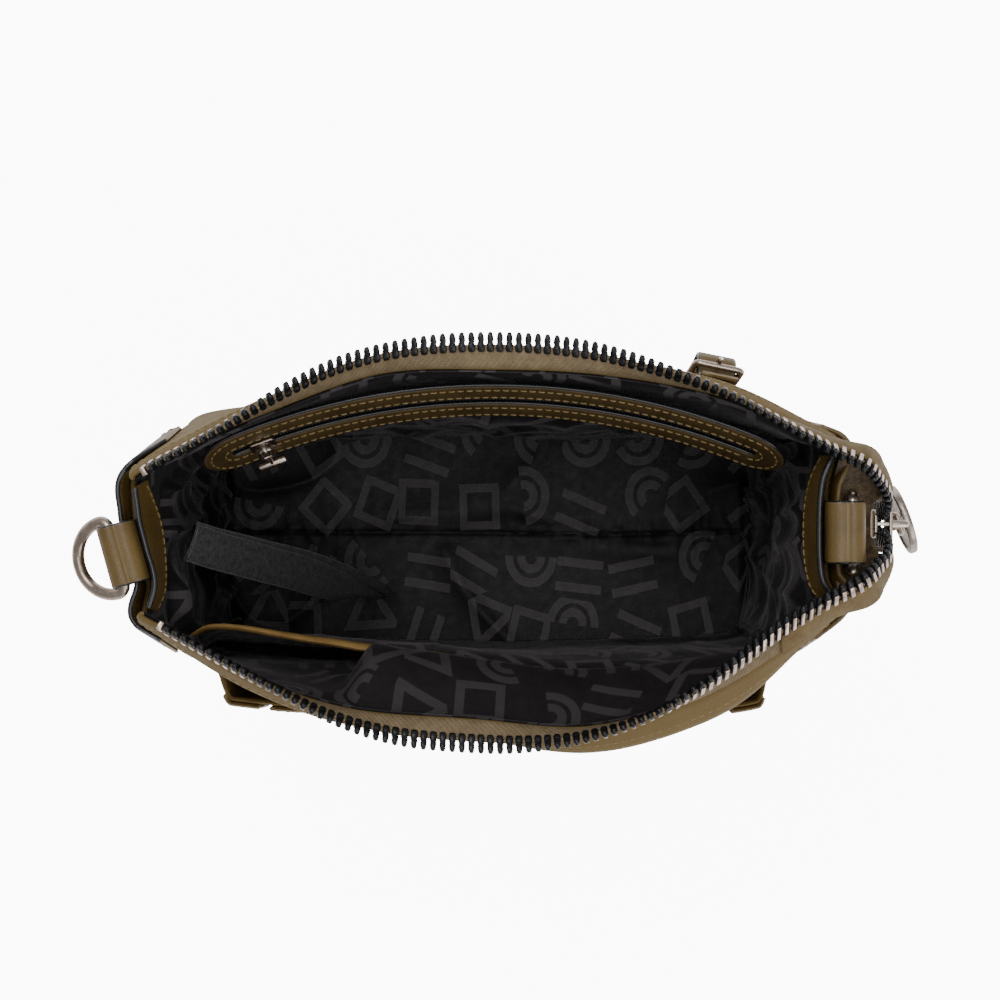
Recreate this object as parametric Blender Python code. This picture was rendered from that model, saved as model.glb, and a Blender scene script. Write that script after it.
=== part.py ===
"""Crossbody purse with an open zip top: nylon body, leather trim, printed lining, nickel hardware.

World frame: +Z up, +X towards the zip's open end, +Y the back wall, origin under the middle of the base.
Lengths are written in millimetres and become metres when a mesh is made.
"""

import math

import bmesh
import bpy
from mathutils import Matrix, Vector

MM = 0.001
GAP = 0.3

# Body
RIM_Z = 165.0
SHOULDER_Z = 156.0
FLARE_START_Z = 96.0
FLARE_POWER = 1.5
BELLY = 3.0
FOOT_ROUND = 5.0
NYLON = 1.5
LINING = 0.8
LINING_INSET = 2.2
BACK_LINING_INSET = 5.6
SIDE_TOP_Z = 150.0
PATCH_TOP_Z = 156.0
BASE_THICK = 1.5
BOARD_THICK = 2.0

# Plan outlines of the body, one point per station, anticlockwise from the front left corner.
FRONT, RIGHT, BACK, LEFT, ROUND = 0, 8, 12, 20, 24
FOOT = [
    (-97, -33.5), (-91, -38.5), (-68, -41), (-35, -42), (0, -42.5), (35, -42), (68, -41), (91, -38.5),
    (97, -33.5), (100, -20), (101, 0), (100, 20),
    (97, 33.5), (91, 38.5), (68, 41), (35, 42), (0, 42.5), (-35, 42), (-68, 41), (-91, 38.5),
    (-97, 33.5), (-100, 20), (-101, 0), (-100, -20),
]
SHOULDER = [
    (-107.5, -23.5), (-97, -31.5), (-72, -46.5), (-42, -57), (-4, -60.5), (32, -62.5), (66, -53), (94, -36),
    (112, -19), (108.2, -10), (107.6, 5), (108.4, 17),
    (111.5, 29), (98, 38), (73, 49.5), (38, 56.5), (4, 58.5), (-32, 57), (-66, 45), (-92, 32.5),
    (-110, 21), (-111, 9), (-108.4, -3), (-105.8, -13),
]

# Main zip
PITCH = 2.9
TOOTH_WIDE = 1.25
TOOTH_LONG = 4.6
TEETH_THICK = 2.4
BEAD = 1.6
TAPE_WIDE = 6.5
TAPE_THICK = 0.8
ZIP_LIFT = 0.9
REACH = TAPE_WIDE + TOOTH_LONG
BACK_TIPS = [
    (-103, 25.0), (-80, 34.3), (-60, 47.2), (-42, 56.3), (-20, 61.7), (0, 63.6), (20, 62.6), (38, 59),
    (55, 52.8), (72, 45.2), (90, 34.6), (105, 26.2),
]
FRONT_TIPS = [
    (-98, -28.8), (-80, -35.2), (-62, -44.6), (-45, -54.6), (-25, -61.6), (0, -64), (18, -62.6), (35, -58.5),
    (52, -51.2), (70, -38.8), (88, -24.8), (104, -15.2),
]
# Tail of the zip: pairs of (sewn edge, tooth tips) as the rows turn down into the slider.
TAIL_X = 125.2
TAIL_Y = 5.0
MOUTH_Z = 144.5
STOP_Z = 127.0
TAPE_END_Z = 117.0
SPREAD = 1.1
MESH = -1.1
MESH_Z = 134.0
TAIL_LEVELS = (MOUTH_Z, MOUTH_Z - 4, 136.5, 131.5, 128.0, 122.0, TAPE_END_Z)
BACK_TAIL = [
    ((117.5, 27.2, 163.5), (114.2, 21.6, 172.5)),
    ((122.0, 21.8, 157.5), (120.0, 16.6, 166.5)),
    ((124.6, 16.6, 153.5), (123.8, 12.2, 160.5)),
    ((125.4, 14.0, 149.0), (125.3, 8.0, 152.6)),
]
FRONT_TAIL = [
    ((117.8, -17.8, 163.5), (114.0, -9.6, 170.5)),
    ((122.0, -12.6, 157.5), (119.8, -5.4, 165.0)),
    ((124.8, -7.2, 153.5), (123.8, -2.2, 160.0)),
    ((125.5, -4.0, 149.0), (125.3, 2.0, 152.6)),
]
WING_START_X = 113.5

# Main slider and its pull
SLIDER_LONG = 11.0
PLATE_WIDE = 12.0
PLATE_THICK = 1.2
PLATE_OFF = 1.75
NECK = 1.2
NECK_LONG = 2.6
BAIL_REACH = 8.7
BAIL_WIDE = 2.2
LINK_X = 5.9
LINK_WIRE = 0.8
LINK_DROP = 6.0
LINK_HALF = 3.2
DISC_R = 11.4
DISC_THICK = 2.6
DISC_DROP = 9.6
DISC_OFF = 3.6
PULL_YAW = math.radians(19)

# End trims and rings
PATCH = 1.6
PATCH_LOW_Z = 126.0
RING_WIRE = 1.9
RING_WIDE = 22.6
RING_DEEP = 15.0
RING_CORNER = 3.0
TONGUE = 2.2
TAB_WIDE = 18.0
TAB_R = 3.9
TAB_HOLE = 2.3
LEFT_TUCK = 7.5
RIGHT_TUCK = 8.0
TAB_FLOOR = -11.0
LEFT_BAR = Vector((-112.6, -4.6, 162.0))
LEFT_YAW = math.radians(15.5)
LEFT_TILT = math.radians(30)
RIGHT_BAR = Vector((113.1, 2.6, 162.0))
RIGHT_YAW = 0.0

# Inner zipped pocket, on an arc about an upright axis so that its slider can follow the zip
ARC_X = 3.0
ARC_Y = -168.0
ARC_R = 211.5
ARC_Z = 141.0
ARC_SLOPE = 0.36
FRAME_HALF = 25.4
FRAME_HIGH = 12.0
SLOT_HALF = 23.0
SLOT_HIGH = 2.4
FRAME_THICK = 1.3
COIL_GAP = 0.9
INNER_SLIDER_ANGLE = -20.2

# Rear strap and buckle
STRAP_X = 71.0
STRAP_WIDE = 11.0
STRAP_THICK = 1.8
BUCKLE_BAR_Z = 137.0
BUCKLE_HIGH = 12.5
BUCKLE_WIDE = 14.6
BUCKLE_WIRE = 1.1

# Front pocket and slip pocket
POCKET_U = (1.25, 7.0)
POCKET_Z = (20.0, 112.0)
POCKET_DEEP = 10.5
SLIP_Z = (46.0, 122.0)
SLIP_U = (0.5, 7.0)
SLIP_GAPE = (0.0, 6.5, 9.0, 9.5, 9.2, 8.0, 6.6, 5.4, 4.6, 4.2, 4.0, 3.6, 2.6, 0.0)

# Key ribbon, from its sewn top to its lower end on the floor
RIBBON_PATH = (
    (-93.5, -1.0, 131), (-88, -3.4, 123), (-82, -5.6, 114), (-73, -8.8, 100), (-63, -12.3, 84),
    (-55, -16, 69), (-49.5, -18.8, 54), (-46, -20.6, 38), (-44.2, -21.6, 24), (-43.4, -22.2, 14), (-43.2, -22.4, 8.5),
)

NYLON_OLIVE = (0.25, 0.19, 0.10)
LEATHER_OLIVE = (0.16, 0.10, 0.035)
LEATHER_TAN = (0.22, 0.16, 0.09)
TAPE_TAN = (0.31, 0.23, 0.14)
LINING_BLACK = (0.012, 0.010, 0.012)
RIBBON_BLACK = (0.035, 0.033, 0.035)
NICKEL = (0.62, 0.55, 0.48)
TEETH_METAL = (0.32, 0.28, 0.26)
BOARD_GREY = (0.20, 0.19, 0.18)


def clear_scene():
    """Empties the scene, so the script can be run again."""
    for old in list(bpy.data.objects):
        bpy.data.objects.remove(old, do_unlink=True)


def material(name, colour, rough, metallic=0.0):
    """A Principled material for one part."""
    made = bpy.data.materials.new(name)
    made.use_nodes = True
    shader = made.node_tree.nodes["Principled BSDF"]
    shader.inputs["Base Color"].default_value = (*colour, 1.0)
    shader.inputs["Roughness"].default_value = rough
    shader.inputs["Metallic"].default_value = metallic
    return made


FINISHES = {
    "nylon": (NYLON_OLIVE, 0.45, 0.0),
    "leather": (LEATHER_OLIVE, 0.5, 0.0),
    "wing": (LEATHER_TAN, 0.6, 0.0),
    "tape": (TAPE_TAN, 0.8, 0.0),
    "lining": (LINING_BLACK, 0.4, 0.0),
    "ribbon": (RIBBON_BLACK, 0.5, 0.0),
    "nickel": (NICKEL, 0.3, 1.0),
    "teeth": (TEETH_METAL, 0.35, 1.0),
    "board": (BOARD_GREY, 0.9, 0.0),
}


def add_object(name, verts, faces, finish, origin=(0, 0, 0)):
    """Makes one named object from millimetre points, with its origin at the given point."""
    base = Vector(origin) * MM
    mesh = bpy.data.meshes.new(name)
    mesh.from_pydata([Vector(v) * MM - base for v in verts], [], faces)
    work = bmesh.new()
    work.from_mesh(mesh)
    bmesh.ops.recalc_face_normals(work, faces=work.faces)
    if work.calc_volume(signed=True) < 0:
        bmesh.ops.reverse_faces(work, faces=work.faces)
    work.to_mesh(mesh)
    work.free()
    mesh.shade_smooth()
    mesh.set_sharp_from_angle(angle=math.radians(35))
    mesh.materials.append(material(name, *FINISHES[finish]))
    made = bpy.data.objects.new(name, mesh)
    made.location = base
    bpy.context.collection.objects.link(made)
    return made


def slab(name, front, back, finish, wrap=False, origin=(0, 0, 0)):
    """A closed sheet between two equal grids of points; wrap joins the last column to the first."""
    rows = len(front)
    cols = len(front[0])
    verts = [p for grid in (front, back) for row in grid for p in row]
    offset = rows * cols

    def at(side, row, col):
        return side * offset + row * cols + col % cols

    faces = []
    spans = cols if wrap else cols - 1
    for row in range(rows - 1):
        for col in range(spans):
            for side in (0, 1):
                low = (at(side, row, col), at(side, row, col + 1))
                faces.append((*low, at(side, row + 1, col + 1), at(side, row + 1, col)))
    for row in (0, rows - 1):
        for col in range(spans):
            faces.append((at(0, row, col), at(0, row, col + 1), at(1, row, col + 1), at(1, row, col)))
    if not wrap:
        for col in (0, cols - 1):
            for row in range(rows - 1):
                faces.append((at(0, row, col), at(0, row + 1, col), at(1, row + 1, col), at(1, row, col)))
    return add_object(name, verts, faces, finish, origin)


def prism(outline, low, high):
    """Points and faces of an upright prism on a closed outline of (x, y)."""
    count = len(outline)
    verts = [(x, y, z) for z in (low, high) for x, y in outline]
    faces = [tuple(range(count)), tuple(range(count, 2 * count))]
    faces += [(i, (i + 1) % count, (i + 1) % count + count, i + count) for i in range(count)]
    return verts, faces


def box(low, high):
    """Points and faces of an upright box."""
    outline = [(low[0], low[1]), (high[0], low[1]), (high[0], high[1]), (low[0], high[1])]
    return prism(outline, low[2], high[2])


def place(shape, matrix):
    """Moves a (points, faces) shape by a matrix."""
    verts, faces = shape
    return [matrix @ Vector(v) for v in verts], faces


def sweep(path, radius, sides, closed=True):
    """Points and faces of a round bar along a path of points."""
    count = len(path)
    verts = []
    faces = []
    lead = (path[1] - path[0]).normalized()
    side = lead.orthogonal().normalized()
    for i in range(count):
        ahead = path[(i + 1) % count] if closed or i < count - 1 else path[i]
        behind = path[i - 1] if closed or i > 0 else path[i]
        lead = (ahead - behind).normalized()
        side = (side - lead * side.dot(lead)).normalized()
        up = lead.cross(side)
        for k in range(sides):
            turn = 2 * math.pi * k / sides
            verts.append(path[i] + (side * math.cos(turn) + up * math.sin(turn)) * radius)
    spans = count if closed else count - 1
    for i in range(spans):
        for k in range(sides):
            j = (i + 1) % count
            m = (k + 1) % sides
            faces.append((i * sides + k, i * sides + m, j * sides + m, j * sides + k))
    if not closed:
        faces.append(tuple(range(sides)))
        faces.append(tuple(range((count - 1) * sides, count * sides)))
    return verts, faces


def combine(name, shapes, finish, cutters=(), origin=(0, 0, 0)):
    """Joins overlapping shapes into one solid, then cuts the cutters from it."""
    main = add_object(name, *shapes[0], finish, origin)
    jobs = [("UNION", shape) for shape in shapes[1:]] + [("DIFFERENCE", shape) for shape in cutters]
    tools = []
    for mode, shape in jobs:
        tool = add_object(name + "_tool", *shape, finish)
        modifier = main.modifiers.new(mode.lower(), "BOOLEAN")
        modifier.operation = mode
        modifier.solver = "EXACT"
        modifier.object = tool
        tools.append(tool)
    bpy.context.view_layer.update()
    evaluated = main.evaluated_get(bpy.context.evaluated_depsgraph_get())
    joined = bpy.data.meshes.new_from_object(evaluated)
    main.modifiers.clear()
    main.data = joined
    main.data.materials.clear()
    main.data.materials.append(material(name, *FINISHES[finish]))
    for tool in tools:
        bpy.data.objects.remove(tool, do_unlink=True)
    return main


def curve_point(points, t, closed=False):
    """A smooth curve through the points, at station t."""
    count = len(points)
    i = math.floor(t)
    if not closed:
        i = max(0, min(count - 2, i))
    s = t - i

    def at(k):
        return points[k % count] if closed else points[max(0, min(count - 1, k))]

    found = []
    for a, b, c, d in zip(at(i - 1), at(i), at(i + 1), at(i + 2)):
        found.append(
            0.5 * (2 * b + (c - a) * s + (2 * a - 5 * b + 4 * c - d) * s ** 2
                   + (3 * b - a - 3 * c + d) * s ** 3)
        )
    return found


def smooth(t):
    """Rises from 0 to 1 with flat ends."""
    t = max(0.0, min(1.0, t))
    return t * t * (3 - 2 * t)


def outline(u, z):
    """The body's plan outline at height z, before its wall profile is added."""
    foot = curve_point(FOOT, u, True)
    shoulder = curve_point(SHOULDER, u, True)
    mix = max(0.0, min(1.0, (z - FLARE_START_Z) / (SHOULDER_Z - FLARE_START_Z))) ** FLARE_POWER
    return Vector([a + (b - a) * mix for a, b in zip(foot, shoulder)])


def outward(u, z):
    """The outline's outward direction."""
    along = outline(u + 0.02, z) - outline(u - 0.02, z)
    return Vector((along.y, -along.x)).normalized()


def roll(u):
    """How far the rim rolls in above the shoulder: most at the middle of the long sides."""
    for first, last in ((FRONT, RIGHT), (BACK, LEFT)):
        if first <= u <= last:
            return 2.0 + 3.0 * math.sin(math.pi * (u - first) / (last - first))
    return 2.0


def wall(u, z, offset=0.0):
    """A point on the body's wall, moved outwards by offset."""
    u = u % ROUND
    depth = offset + BELLY * math.sin(math.pi * min(1.0, z / SHOULDER_Z))
    if z < FOOT_ROUND:
        depth -= FOOT_ROUND - math.sqrt(FOOT_ROUND ** 2 - (FOOT_ROUND - z) ** 2)
    if z > SHOULDER_Z:
        depth -= roll(u) * (1 - math.cos(0.5 * math.pi * (z - SHOULDER_Z) / (RIM_Z - SHOULDER_Z)))
    spot = outline(u, z) + outward(u, z) * depth
    return Vector((spot.x, spot.y, z))


def steps(first, last, count):
    """Evenly spaced numbers from first to last."""
    return [first + (last - first) * i / (count - 1) for i in range(count)]


def wall_sheet(name, us, zs, outer, thick, finish):
    """A sheet that follows the wall; outer gives its outer face's offset at (u, z)."""
    front = [[wall(u, z, outer(u, z)) for u in us] for z in zs]
    back = [[wall(u, z, outer(u, z) - thick) for u in us] for z in zs]
    return slab(name, front, back, finish)


BODY_Z = [0.0, 2.0, 5.0, 50.0, 96.0, 112.0, 126.0, 139.0, 150.0, 156.0, 161.0, 165.0]
U_STEP = 0.5


def heights(low, high):
    """The body's levels between two heights, ends included."""
    return [low] + [z for z in BODY_Z if low + 1 < z < high - 1] + [high]


def stations(first, last):
    """The wall's stations between two others, ends included: neighbouring sheets share facets."""
    inner = [k * U_STEP for k in range(2 * ROUND) if first + 0.1 < k * U_STEP < last - 0.1]
    return [first] + inner + [last]


def nylon_body():
    """Four wall panels and the base."""
    edge = 0.03
    for name, first, last, top in (
        ("front_panel", FRONT, RIGHT, RIM_Z),
        ("right_side_panel", RIGHT, BACK, SIDE_TOP_Z),
        ("back_panel", BACK, LEFT, RIM_Z),
        ("left_side_panel", LEFT, ROUND, SIDE_TOP_Z),
    ):
        us = stations(first + edge, last - edge)
        wall_sheet(name, us, heights(0, top), lambda u, z: 0.0, NYLON, "nylon")


def floor_plate(name, inset, low, high, finish):
    """A flat piece that fills the foot of the body, set in from the wall."""
    spots = [wall(k * U_STEP, low, -inset) for k in range(2 * ROUND)]
    verts, faces = prism([(p.x, p.y) for p in spots], low, high)
    return add_object(name, verts, faces, finish)


def floor_pieces():
    """The base panel, its stiffening board and the lining's floor."""
    top = BASE_THICK + GAP + BOARD_THICK + GAP
    floor_plate("base_panel", NYLON + 0.8, 0.0, BASE_THICK, "nylon")
    floor_plate("base_board", NYLON + 2.0, BASE_THICK + GAP, top - GAP, "board")
    floor_plate("lining_base", BACK_LINING_INSET + LINING + GAP, top, top + LINING, "lining")


def lining_offset(u, z):
    """The lining's outer face: close to the wall, further in behind the zipped pocket."""
    hang = smooth((RIM_Z - z) / 14.0)
    if BACK <= u <= LEFT:
        middle = math.sin(math.pi * (u - BACK) / (LEFT - BACK))
        return -LINING_INSET - (BACK_LINING_INSET - LINING_INSET) * hang * smooth(3 * middle)
    return -LINING_INSET


def lining():
    """The lining's four walls."""
    low = BASE_THICK + BOARD_THICK + 2 * GAP
    edge = 0.06
    for name, first, last, top in (
        ("lining_front", FRONT, RIGHT, RIM_Z - 1.5),
        ("lining_right", RIGHT, BACK, SIDE_TOP_Z),
        ("lining_left", LEFT, ROUND, SIDE_TOP_Z),
    ):
        us = stations(first + edge, last - edge)
        wall_sheet(name, us, heights(low, top), lining_offset, LINING, "lining")
    us = stations(BACK + edge, LEFT - edge)
    panel = wall_sheet("lining_back", us, heights(low, RIM_Z - 1.5), lining_offset, LINING, "lining")
    cut_pocket_slit(panel)


def arc_spot(angle, across, depth):
    """A point on the zipped pocket's cone: degrees round, height up the slope, depth towards the wall."""
    tilt = math.atan(ARC_SLOPE)
    radius = ARC_R + across * math.sin(tilt) + depth * math.cos(tilt)
    turn = math.radians(angle)
    z = ARC_Z + across * math.cos(tilt) - depth * math.sin(tilt)
    return Vector((ARC_X + radius * math.sin(turn), ARC_Y + radius * math.cos(turn), z))


def racetrack(half, high, count=6):
    """A long rounded outline as (degrees, height) points, anticlockwise."""
    per_degree = ARC_R * math.pi / 180
    inner = half - high / per_degree
    spots = []
    for start, centre in ((-90, inner), (90, -inner)):
        for i in range(count + 1):
            turn = math.radians(start + 180 * i / count)
            spots.append((centre + high / per_degree * math.cos(turn), high * math.sin(turn)))
        far = -centre
        spots += [(centre + (far - centre) * k / 12, high if start < 0 else -high) for k in range(1, 12)]
    return spots


def arc_band(name, us, vs, depth, thick, finish):
    """A strip of the pocket's cone between two depths."""
    front = [[arc_spot(a, v, depth) for a in us] for v in vs]
    back = [[arc_spot(a, v, depth + thick) for a in us] for v in vs]
    return slab(name, front, back, finish)


def cut_pocket_slit(panel):
    """Opens the back lining behind the zipped pocket's slot."""
    angles = steps(-SLOT_HALF, SLOT_HALF, 17)
    cutter = arc_band("slit_tool", angles, (-SLOT_HIGH, SLOT_HIGH), -12, 30, "lining")
    cutter.hide_render = True
    cutter.display_type = "WIRE"
    modifier = panel.modifiers.new("slit", "BOOLEAN")
    modifier.operation = "DIFFERENCE"
    modifier.solver = "EXACT"
    modifier.object = cutter


def inner_pocket():
    """The zipped pocket: leather frame, two zip halves and the pocket bag behind the lining."""
    outer = racetrack(FRAME_HALF, FRAME_HIGH)
    inner = racetrack(SLOT_HALF, SLOT_HIGH)
    front = [[arc_spot(a, v, 0) for a, v in loop] for loop in (outer, inner)]
    back = [[arc_spot(a, v, FRAME_THICK) for a, v in loop] for loop in (outer, inner)]
    slab("inner_pocket_frame", front, back, "leather", wrap=True)
    depth = FRAME_THICK + GAP
    angles = steps(-SLOT_HALF - 0.8, SLOT_HALF + 0.8, 17)
    arc_band("inner_zip_upper", angles, (COIL_GAP, 7.5), depth, 1.0, "teeth")
    arc_band("inner_zip_lower", angles, (-7.5, -COIL_GAP), depth, 1.0, "teeth")
    layer = 0.5
    inside, outside = -4.5, -2.6
    path = [(z, inside) for z in reversed(heights(62, 126))] + [(59, 0.5 * (inside + outside))]
    path += [(z, outside) for z in heights(62, 150)]
    us = stations(13.5, 18.5)
    grids = []
    for side in (-0.5, 0.5):
        grid = []
        for k, (z, offset) in enumerate(path):
            before = path[max(0, k - 1)]
            after = path[min(len(path) - 1, k + 1)]
            along = Vector((after[0] - before[0], after[1] - before[1])).normalized()
            shift = Vector((-along.y, along.x)) * side * layer
            grid.append([wall(u, z + shift.x, offset + shift.y) for u in us])
        grids.append(grid)
    slab("inner_pocket_bag", *grids, "lining")


def slip_offset(u, z):
    """The slip pocket's gape: most near its left end, which bridges the corner, less to the right."""
    low, high = SLIP_Z
    first, last = SLIP_U
    place_in_table = (u - first) / (last - first) * (len(SLIP_GAPE) - 1)
    gape = curve_point([(g,) for g in SLIP_GAPE], place_in_table)[0]
    rise = max(0.0, (z - low) / (high - low))
    return -LINING_INSET - LINING - 2 * GAP - gape * rise


def slip_pocket():
    """The open pocket on the front wall and its bound edge."""
    us = stations(*SLIP_U)
    low, high = SLIP_Z
    wall_sheet("slip_pocket_panel", us, heights(low, high), slip_offset, 0.8, "lining")

    def bound(u, z):
        return slip_offset(u, high) + GAP

    wall_sheet("slip_pocket_binding", us, (high + GAP, high + 2.3), bound, 1.4, "leather")


def front_pocket_offset(u, z):
    """The outer pocket's stand-off from the wall: full in the middle, down to the wall at sides and foot."""
    first, last = POCKET_U
    side = min(smooth((u - first) / 0.3), smooth((last - u) / 0.3))
    foot = smooth((z - POCKET_Z[0]) / 9.0)
    return 1.2 + GAP + (POCKET_DEEP - 1.2 - GAP) * min(side, foot)


def front_pocket():
    """The outer patch pocket with its leather band and two leather corner tabs."""
    first, last = POCKET_U
    near = [first, first + 0.1, first + 0.2, first + 0.3, first + 0.62]
    far = [last - 0.62, last - 0.3, last - 0.2, last - 0.1, last]
    us = near + stations(first + 0.75, last - 0.75) + far
    low, high = POCKET_Z
    zs = [low, low + 3, low + 6, low + 9, 50, high - 20, high - 13, high - 6, high]
    wall_sheet("front_pocket_panel", us, zs, front_pocket_offset, 1.2, "nylon")
    skin = GAP + PATCH

    def trim(u, z):
        return front_pocket_offset(u, z) + skin

    band = stations(first + 0.75, last - 0.75)
    wall_sheet("front_pocket_band", band, (high - 13, high - 6, high), trim, PATCH, "leather")
    levels = (high - 20, high - 13, high - 6, high)
    wall_sheet("front_pocket_tab_left", near[2:], levels, trim, PATCH, "leather")
    wall_sheet("front_pocket_tab_right", far[:3], levels, trim, PATCH, "leather")


def rim_y(first, last, x):
    """The rim's y at a given x on one long side."""
    low, high = first, last
    rising = wall(last, RIM_Z).x > wall(first, RIM_Z).x
    for _ in range(30):
        middle = 0.5 * (low + high)
        if (wall(middle, RIM_Z).x < x) == rising:
            low = middle
        else:
            high = middle
    return wall(low, RIM_Z, -0.5 * NYLON).y


def zip_row(first, last, tips, tail, sign):
    """Stations of one zip half, (sewn edge, tooth tips), from its closed end to the tape's end."""
    rows = []
    count = 44
    for i in range(count):
        x, y = curve_point(tips, i * (len(tips) - 1) / (count - 1))
        edge = Vector((x, rim_y(first, last, x), RIM_Z + ZIP_LIFT))
        across = y - edge.y
        rows.append((edge, Vector((x, y, edge.z + math.sqrt(REACH ** 2 - across ** 2)))))
    rows += [(Vector(edge), Vector(tip)) for edge, tip in tail]
    half = sign * (SPREAD + REACH - 4.4)
    for z in TAIL_LEVELS:
        spread = SPREAD if z > MESH_Z else MESH
        rows.append((Vector((TAIL_X, TAIL_Y + half, z)), Vector((TAIL_X, TAIL_Y + sign * spread, z))))
    return rows


def along_rows(rows):
    """Turns stations into a function of length along the bead, measured back from the tape's end."""
    path = []
    length = 0.0
    last = None
    fine = 4
    for i in range((len(rows) - 1) * fine, -1, -1):
        t = i / fine
        edge = Vector(curve_point([r[0] for r in rows], t))
        tip = Vector(curve_point([r[1] for r in rows], t))
        bead = tip - (tip - edge).normalized() * TOOTH_LONG
        if last is not None:
            length += (bead - last).length
        last = bead
        path.append((length, edge, bead, tip))
    return path


def row_at(path, length):
    """Edge, bead, tip and thickness direction at a length along the row."""
    for (a, *first), (b, *second) in zip(path, path[1:]):
        if length <= b or (b, *second) == path[-1]:
            mix = max(0.0, min(1.0, (length - a) / (b - a)))
            edge, bead, tip = (p.lerp(q, mix) for p, q in zip(first, second))
            thick = (second[1] - first[1]).cross(tip - edge).normalized()
            return edge, bead, tip, thick
    return None


def length_where(path, test):
    """The first length along the row at which test(bead) holds."""
    return next(length for length, edge, bead, tip in path if test(bead))


def tape(name, path, tip_gap):
    """The woven tape between the sewn edge and the bead."""
    total = path[-1][0]
    count = 70
    front = []
    back = []
    for i in range(count):
        edge, bead, tip, thick = row_at(path, total * i / (count - 1))
        inner = bead - (tip - bead).normalized() * (0.5 * BEAD + tip_gap)
        for grid, side in ((front, 0.5), (back, -0.5)):
            grid.append([p + thick * side * TAPE_THICK for p in (edge, inner)])
    slab(name, front, back, "tape")


def teeth(name, path, shift):
    """One row of teeth on its bead, as a single comb."""
    start = length_where(path, lambda bead: bead.z > STOP_Z + 0.8) + shift
    count = int((path[-1][0] - start - TOOTH_WIDE - 1) / PITCH)
    verts = []
    faces = []
    marks = [start + PITCH * k + part for k in range(count) for part in (0.0, TOOTH_WIDE)]
    for mark in marks:
        edge, bead, tip, thick = row_at(path, mark)
        across = (tip - bead).normalized()
        for spot in (bead - across * 0.5 * BEAD, bead + across * 0.5 * BEAD, tip):
            for side in (0.5, -0.5):
                verts.append(spot + thick * side * TEETH_THICK)
    for i in range(len(marks) - 1):
        a, b = 6 * i, 6 * i + 6
        faces += [(a, b, b + 2, a + 2), (a + 1, a + 3, b + 3, b + 1), (a, a + 1, b + 1, b)]
        if i % 2 == 0:
            faces += [(a + 2, b + 2, b + 4, a + 4), (a + 3, a + 5, b + 5, b + 3)]
            faces += [(a + 4, b + 4, b + 5, a + 5)]
            faces += [(a + 2, a + 4, a + 5, a + 3), (b + 2, b + 3, b + 5, b + 4)]
        else:
            faces.append((a + 2, b + 2, b + 3, a + 3))
    for a, at_start in ((0, True), (6 * (len(marks) - 1), False)):
        faces.append((a, a + 2, a + 3, a + 1) if at_start else (a, a + 1, a + 3, a + 2))
    add_object(name, verts, faces, "teeth")


def wing(name, path, side):
    """The leather strip outside the tape, from the nylon's end to the slider."""
    first = length_where(path, lambda bead: bead.z > MOUTH_Z + 3.5)
    last = length_where(path, lambda bead: bead.z > MOUTH_Z + 3.5 and bead.x < WING_START_X - 2.5)
    front = []
    back = []
    for length in steps(first, last, 15):
        edge, bead, tip, thick = row_at(path, length)
        across = (edge - bead).normalized()
        if edge.x < WING_START_X:
            edge = Vector((WING_START_X, edge.y, edge.z))
        off = 0.5 * TAPE_THICK + GAP
        spots = (bead + across * 1.2, edge + across * 1.5)
        front.append([p + thick * side * off for p in spots])
        back.append([p + thick * side * (off + PATCH) for p in spots])
    slab(name, front, back, "wing")


def top_stop(name, path):
    """The small clamp at the closed end of a row."""
    total = path[-1][0]
    edge, bead, tip, thick = row_at(path, total - 0.9)
    along = (bead - row_at(path, total - 3)[1]).normalized()
    across = (tip - bead).normalized()
    turn = Matrix((across, along, thick)).transposed().to_4x4()
    shape = place(box((-0.4, -0.8, -1.3), (3.0, 0.8, 1.3)), Matrix.Translation(bead + across * 0.6) @ turn)
    add_object(name, *shape, "teeth")


def main_zip():
    """Both halves of the main zip with their stops, wings and the leather end tab."""
    for side, first, last, tips, tail, sign, shift in (
        ("back", LEFT, BACK, BACK_TIPS, BACK_TAIL, 1, 0.0),
        ("front", FRONT, RIGHT, FRONT_TIPS, FRONT_TAIL, -1, 0.5 * PITCH),
    ):
        path = along_rows(zip_row(first, last, tips, tail, sign))
        tape(f"zip_tape_{side}", path, 2 * GAP)
        teeth(f"zip_teeth_{side}", path, shift)
        top_stop(f"zip_top_stop_{side}", path)
        wing(f"zip_wing_{side}", path, sign)
    low = Vector((TAIL_X - 1.7, TAIL_Y - 2.9, STOP_Z - 4.5))
    high = Vector((TAIL_X + 1.7, TAIL_Y + 2.9, STOP_Z))
    add_object("zip_bottom_stop", *box(low, high), "nickel")


def end_tab():
    """The leather tab folded round the tape's raw end, as a pocket open at its top."""
    half = 9.5
    low, high = TAPE_END_Z - 6.0, STOP_Z - 5.5
    outer = []
    for i in range(13):
        turn = math.pi * (1 + i / 12)
        outer.append((half * math.cos(turn), low + half + half * math.sin(turn)))
    outer = [(-half, high)] + outer + [(half, high)]
    verts = []
    for x in (-2.0, 2.0):
        verts += [(TAIL_X + x, TAIL_Y + y, z) for y, z in outer]
    count = len(outer)
    faces = [tuple(range(count)), tuple(range(count, 2 * count))]
    faces += [(i, (i + 1) % count, (i + 1) % count + count, i + count) for i in range(count)]
    slot = box(
        (TAIL_X - 0.5 * TAPE_THICK - GAP, TAIL_Y - 8.4, TAPE_END_Z - GAP),
        (TAIL_X + 0.5 * TAPE_THICK + GAP, TAIL_Y + 8.4, high + 2),
    )
    combine("zip_end_tab", [(verts, faces)], "leather", cutters=[slot])


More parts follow.
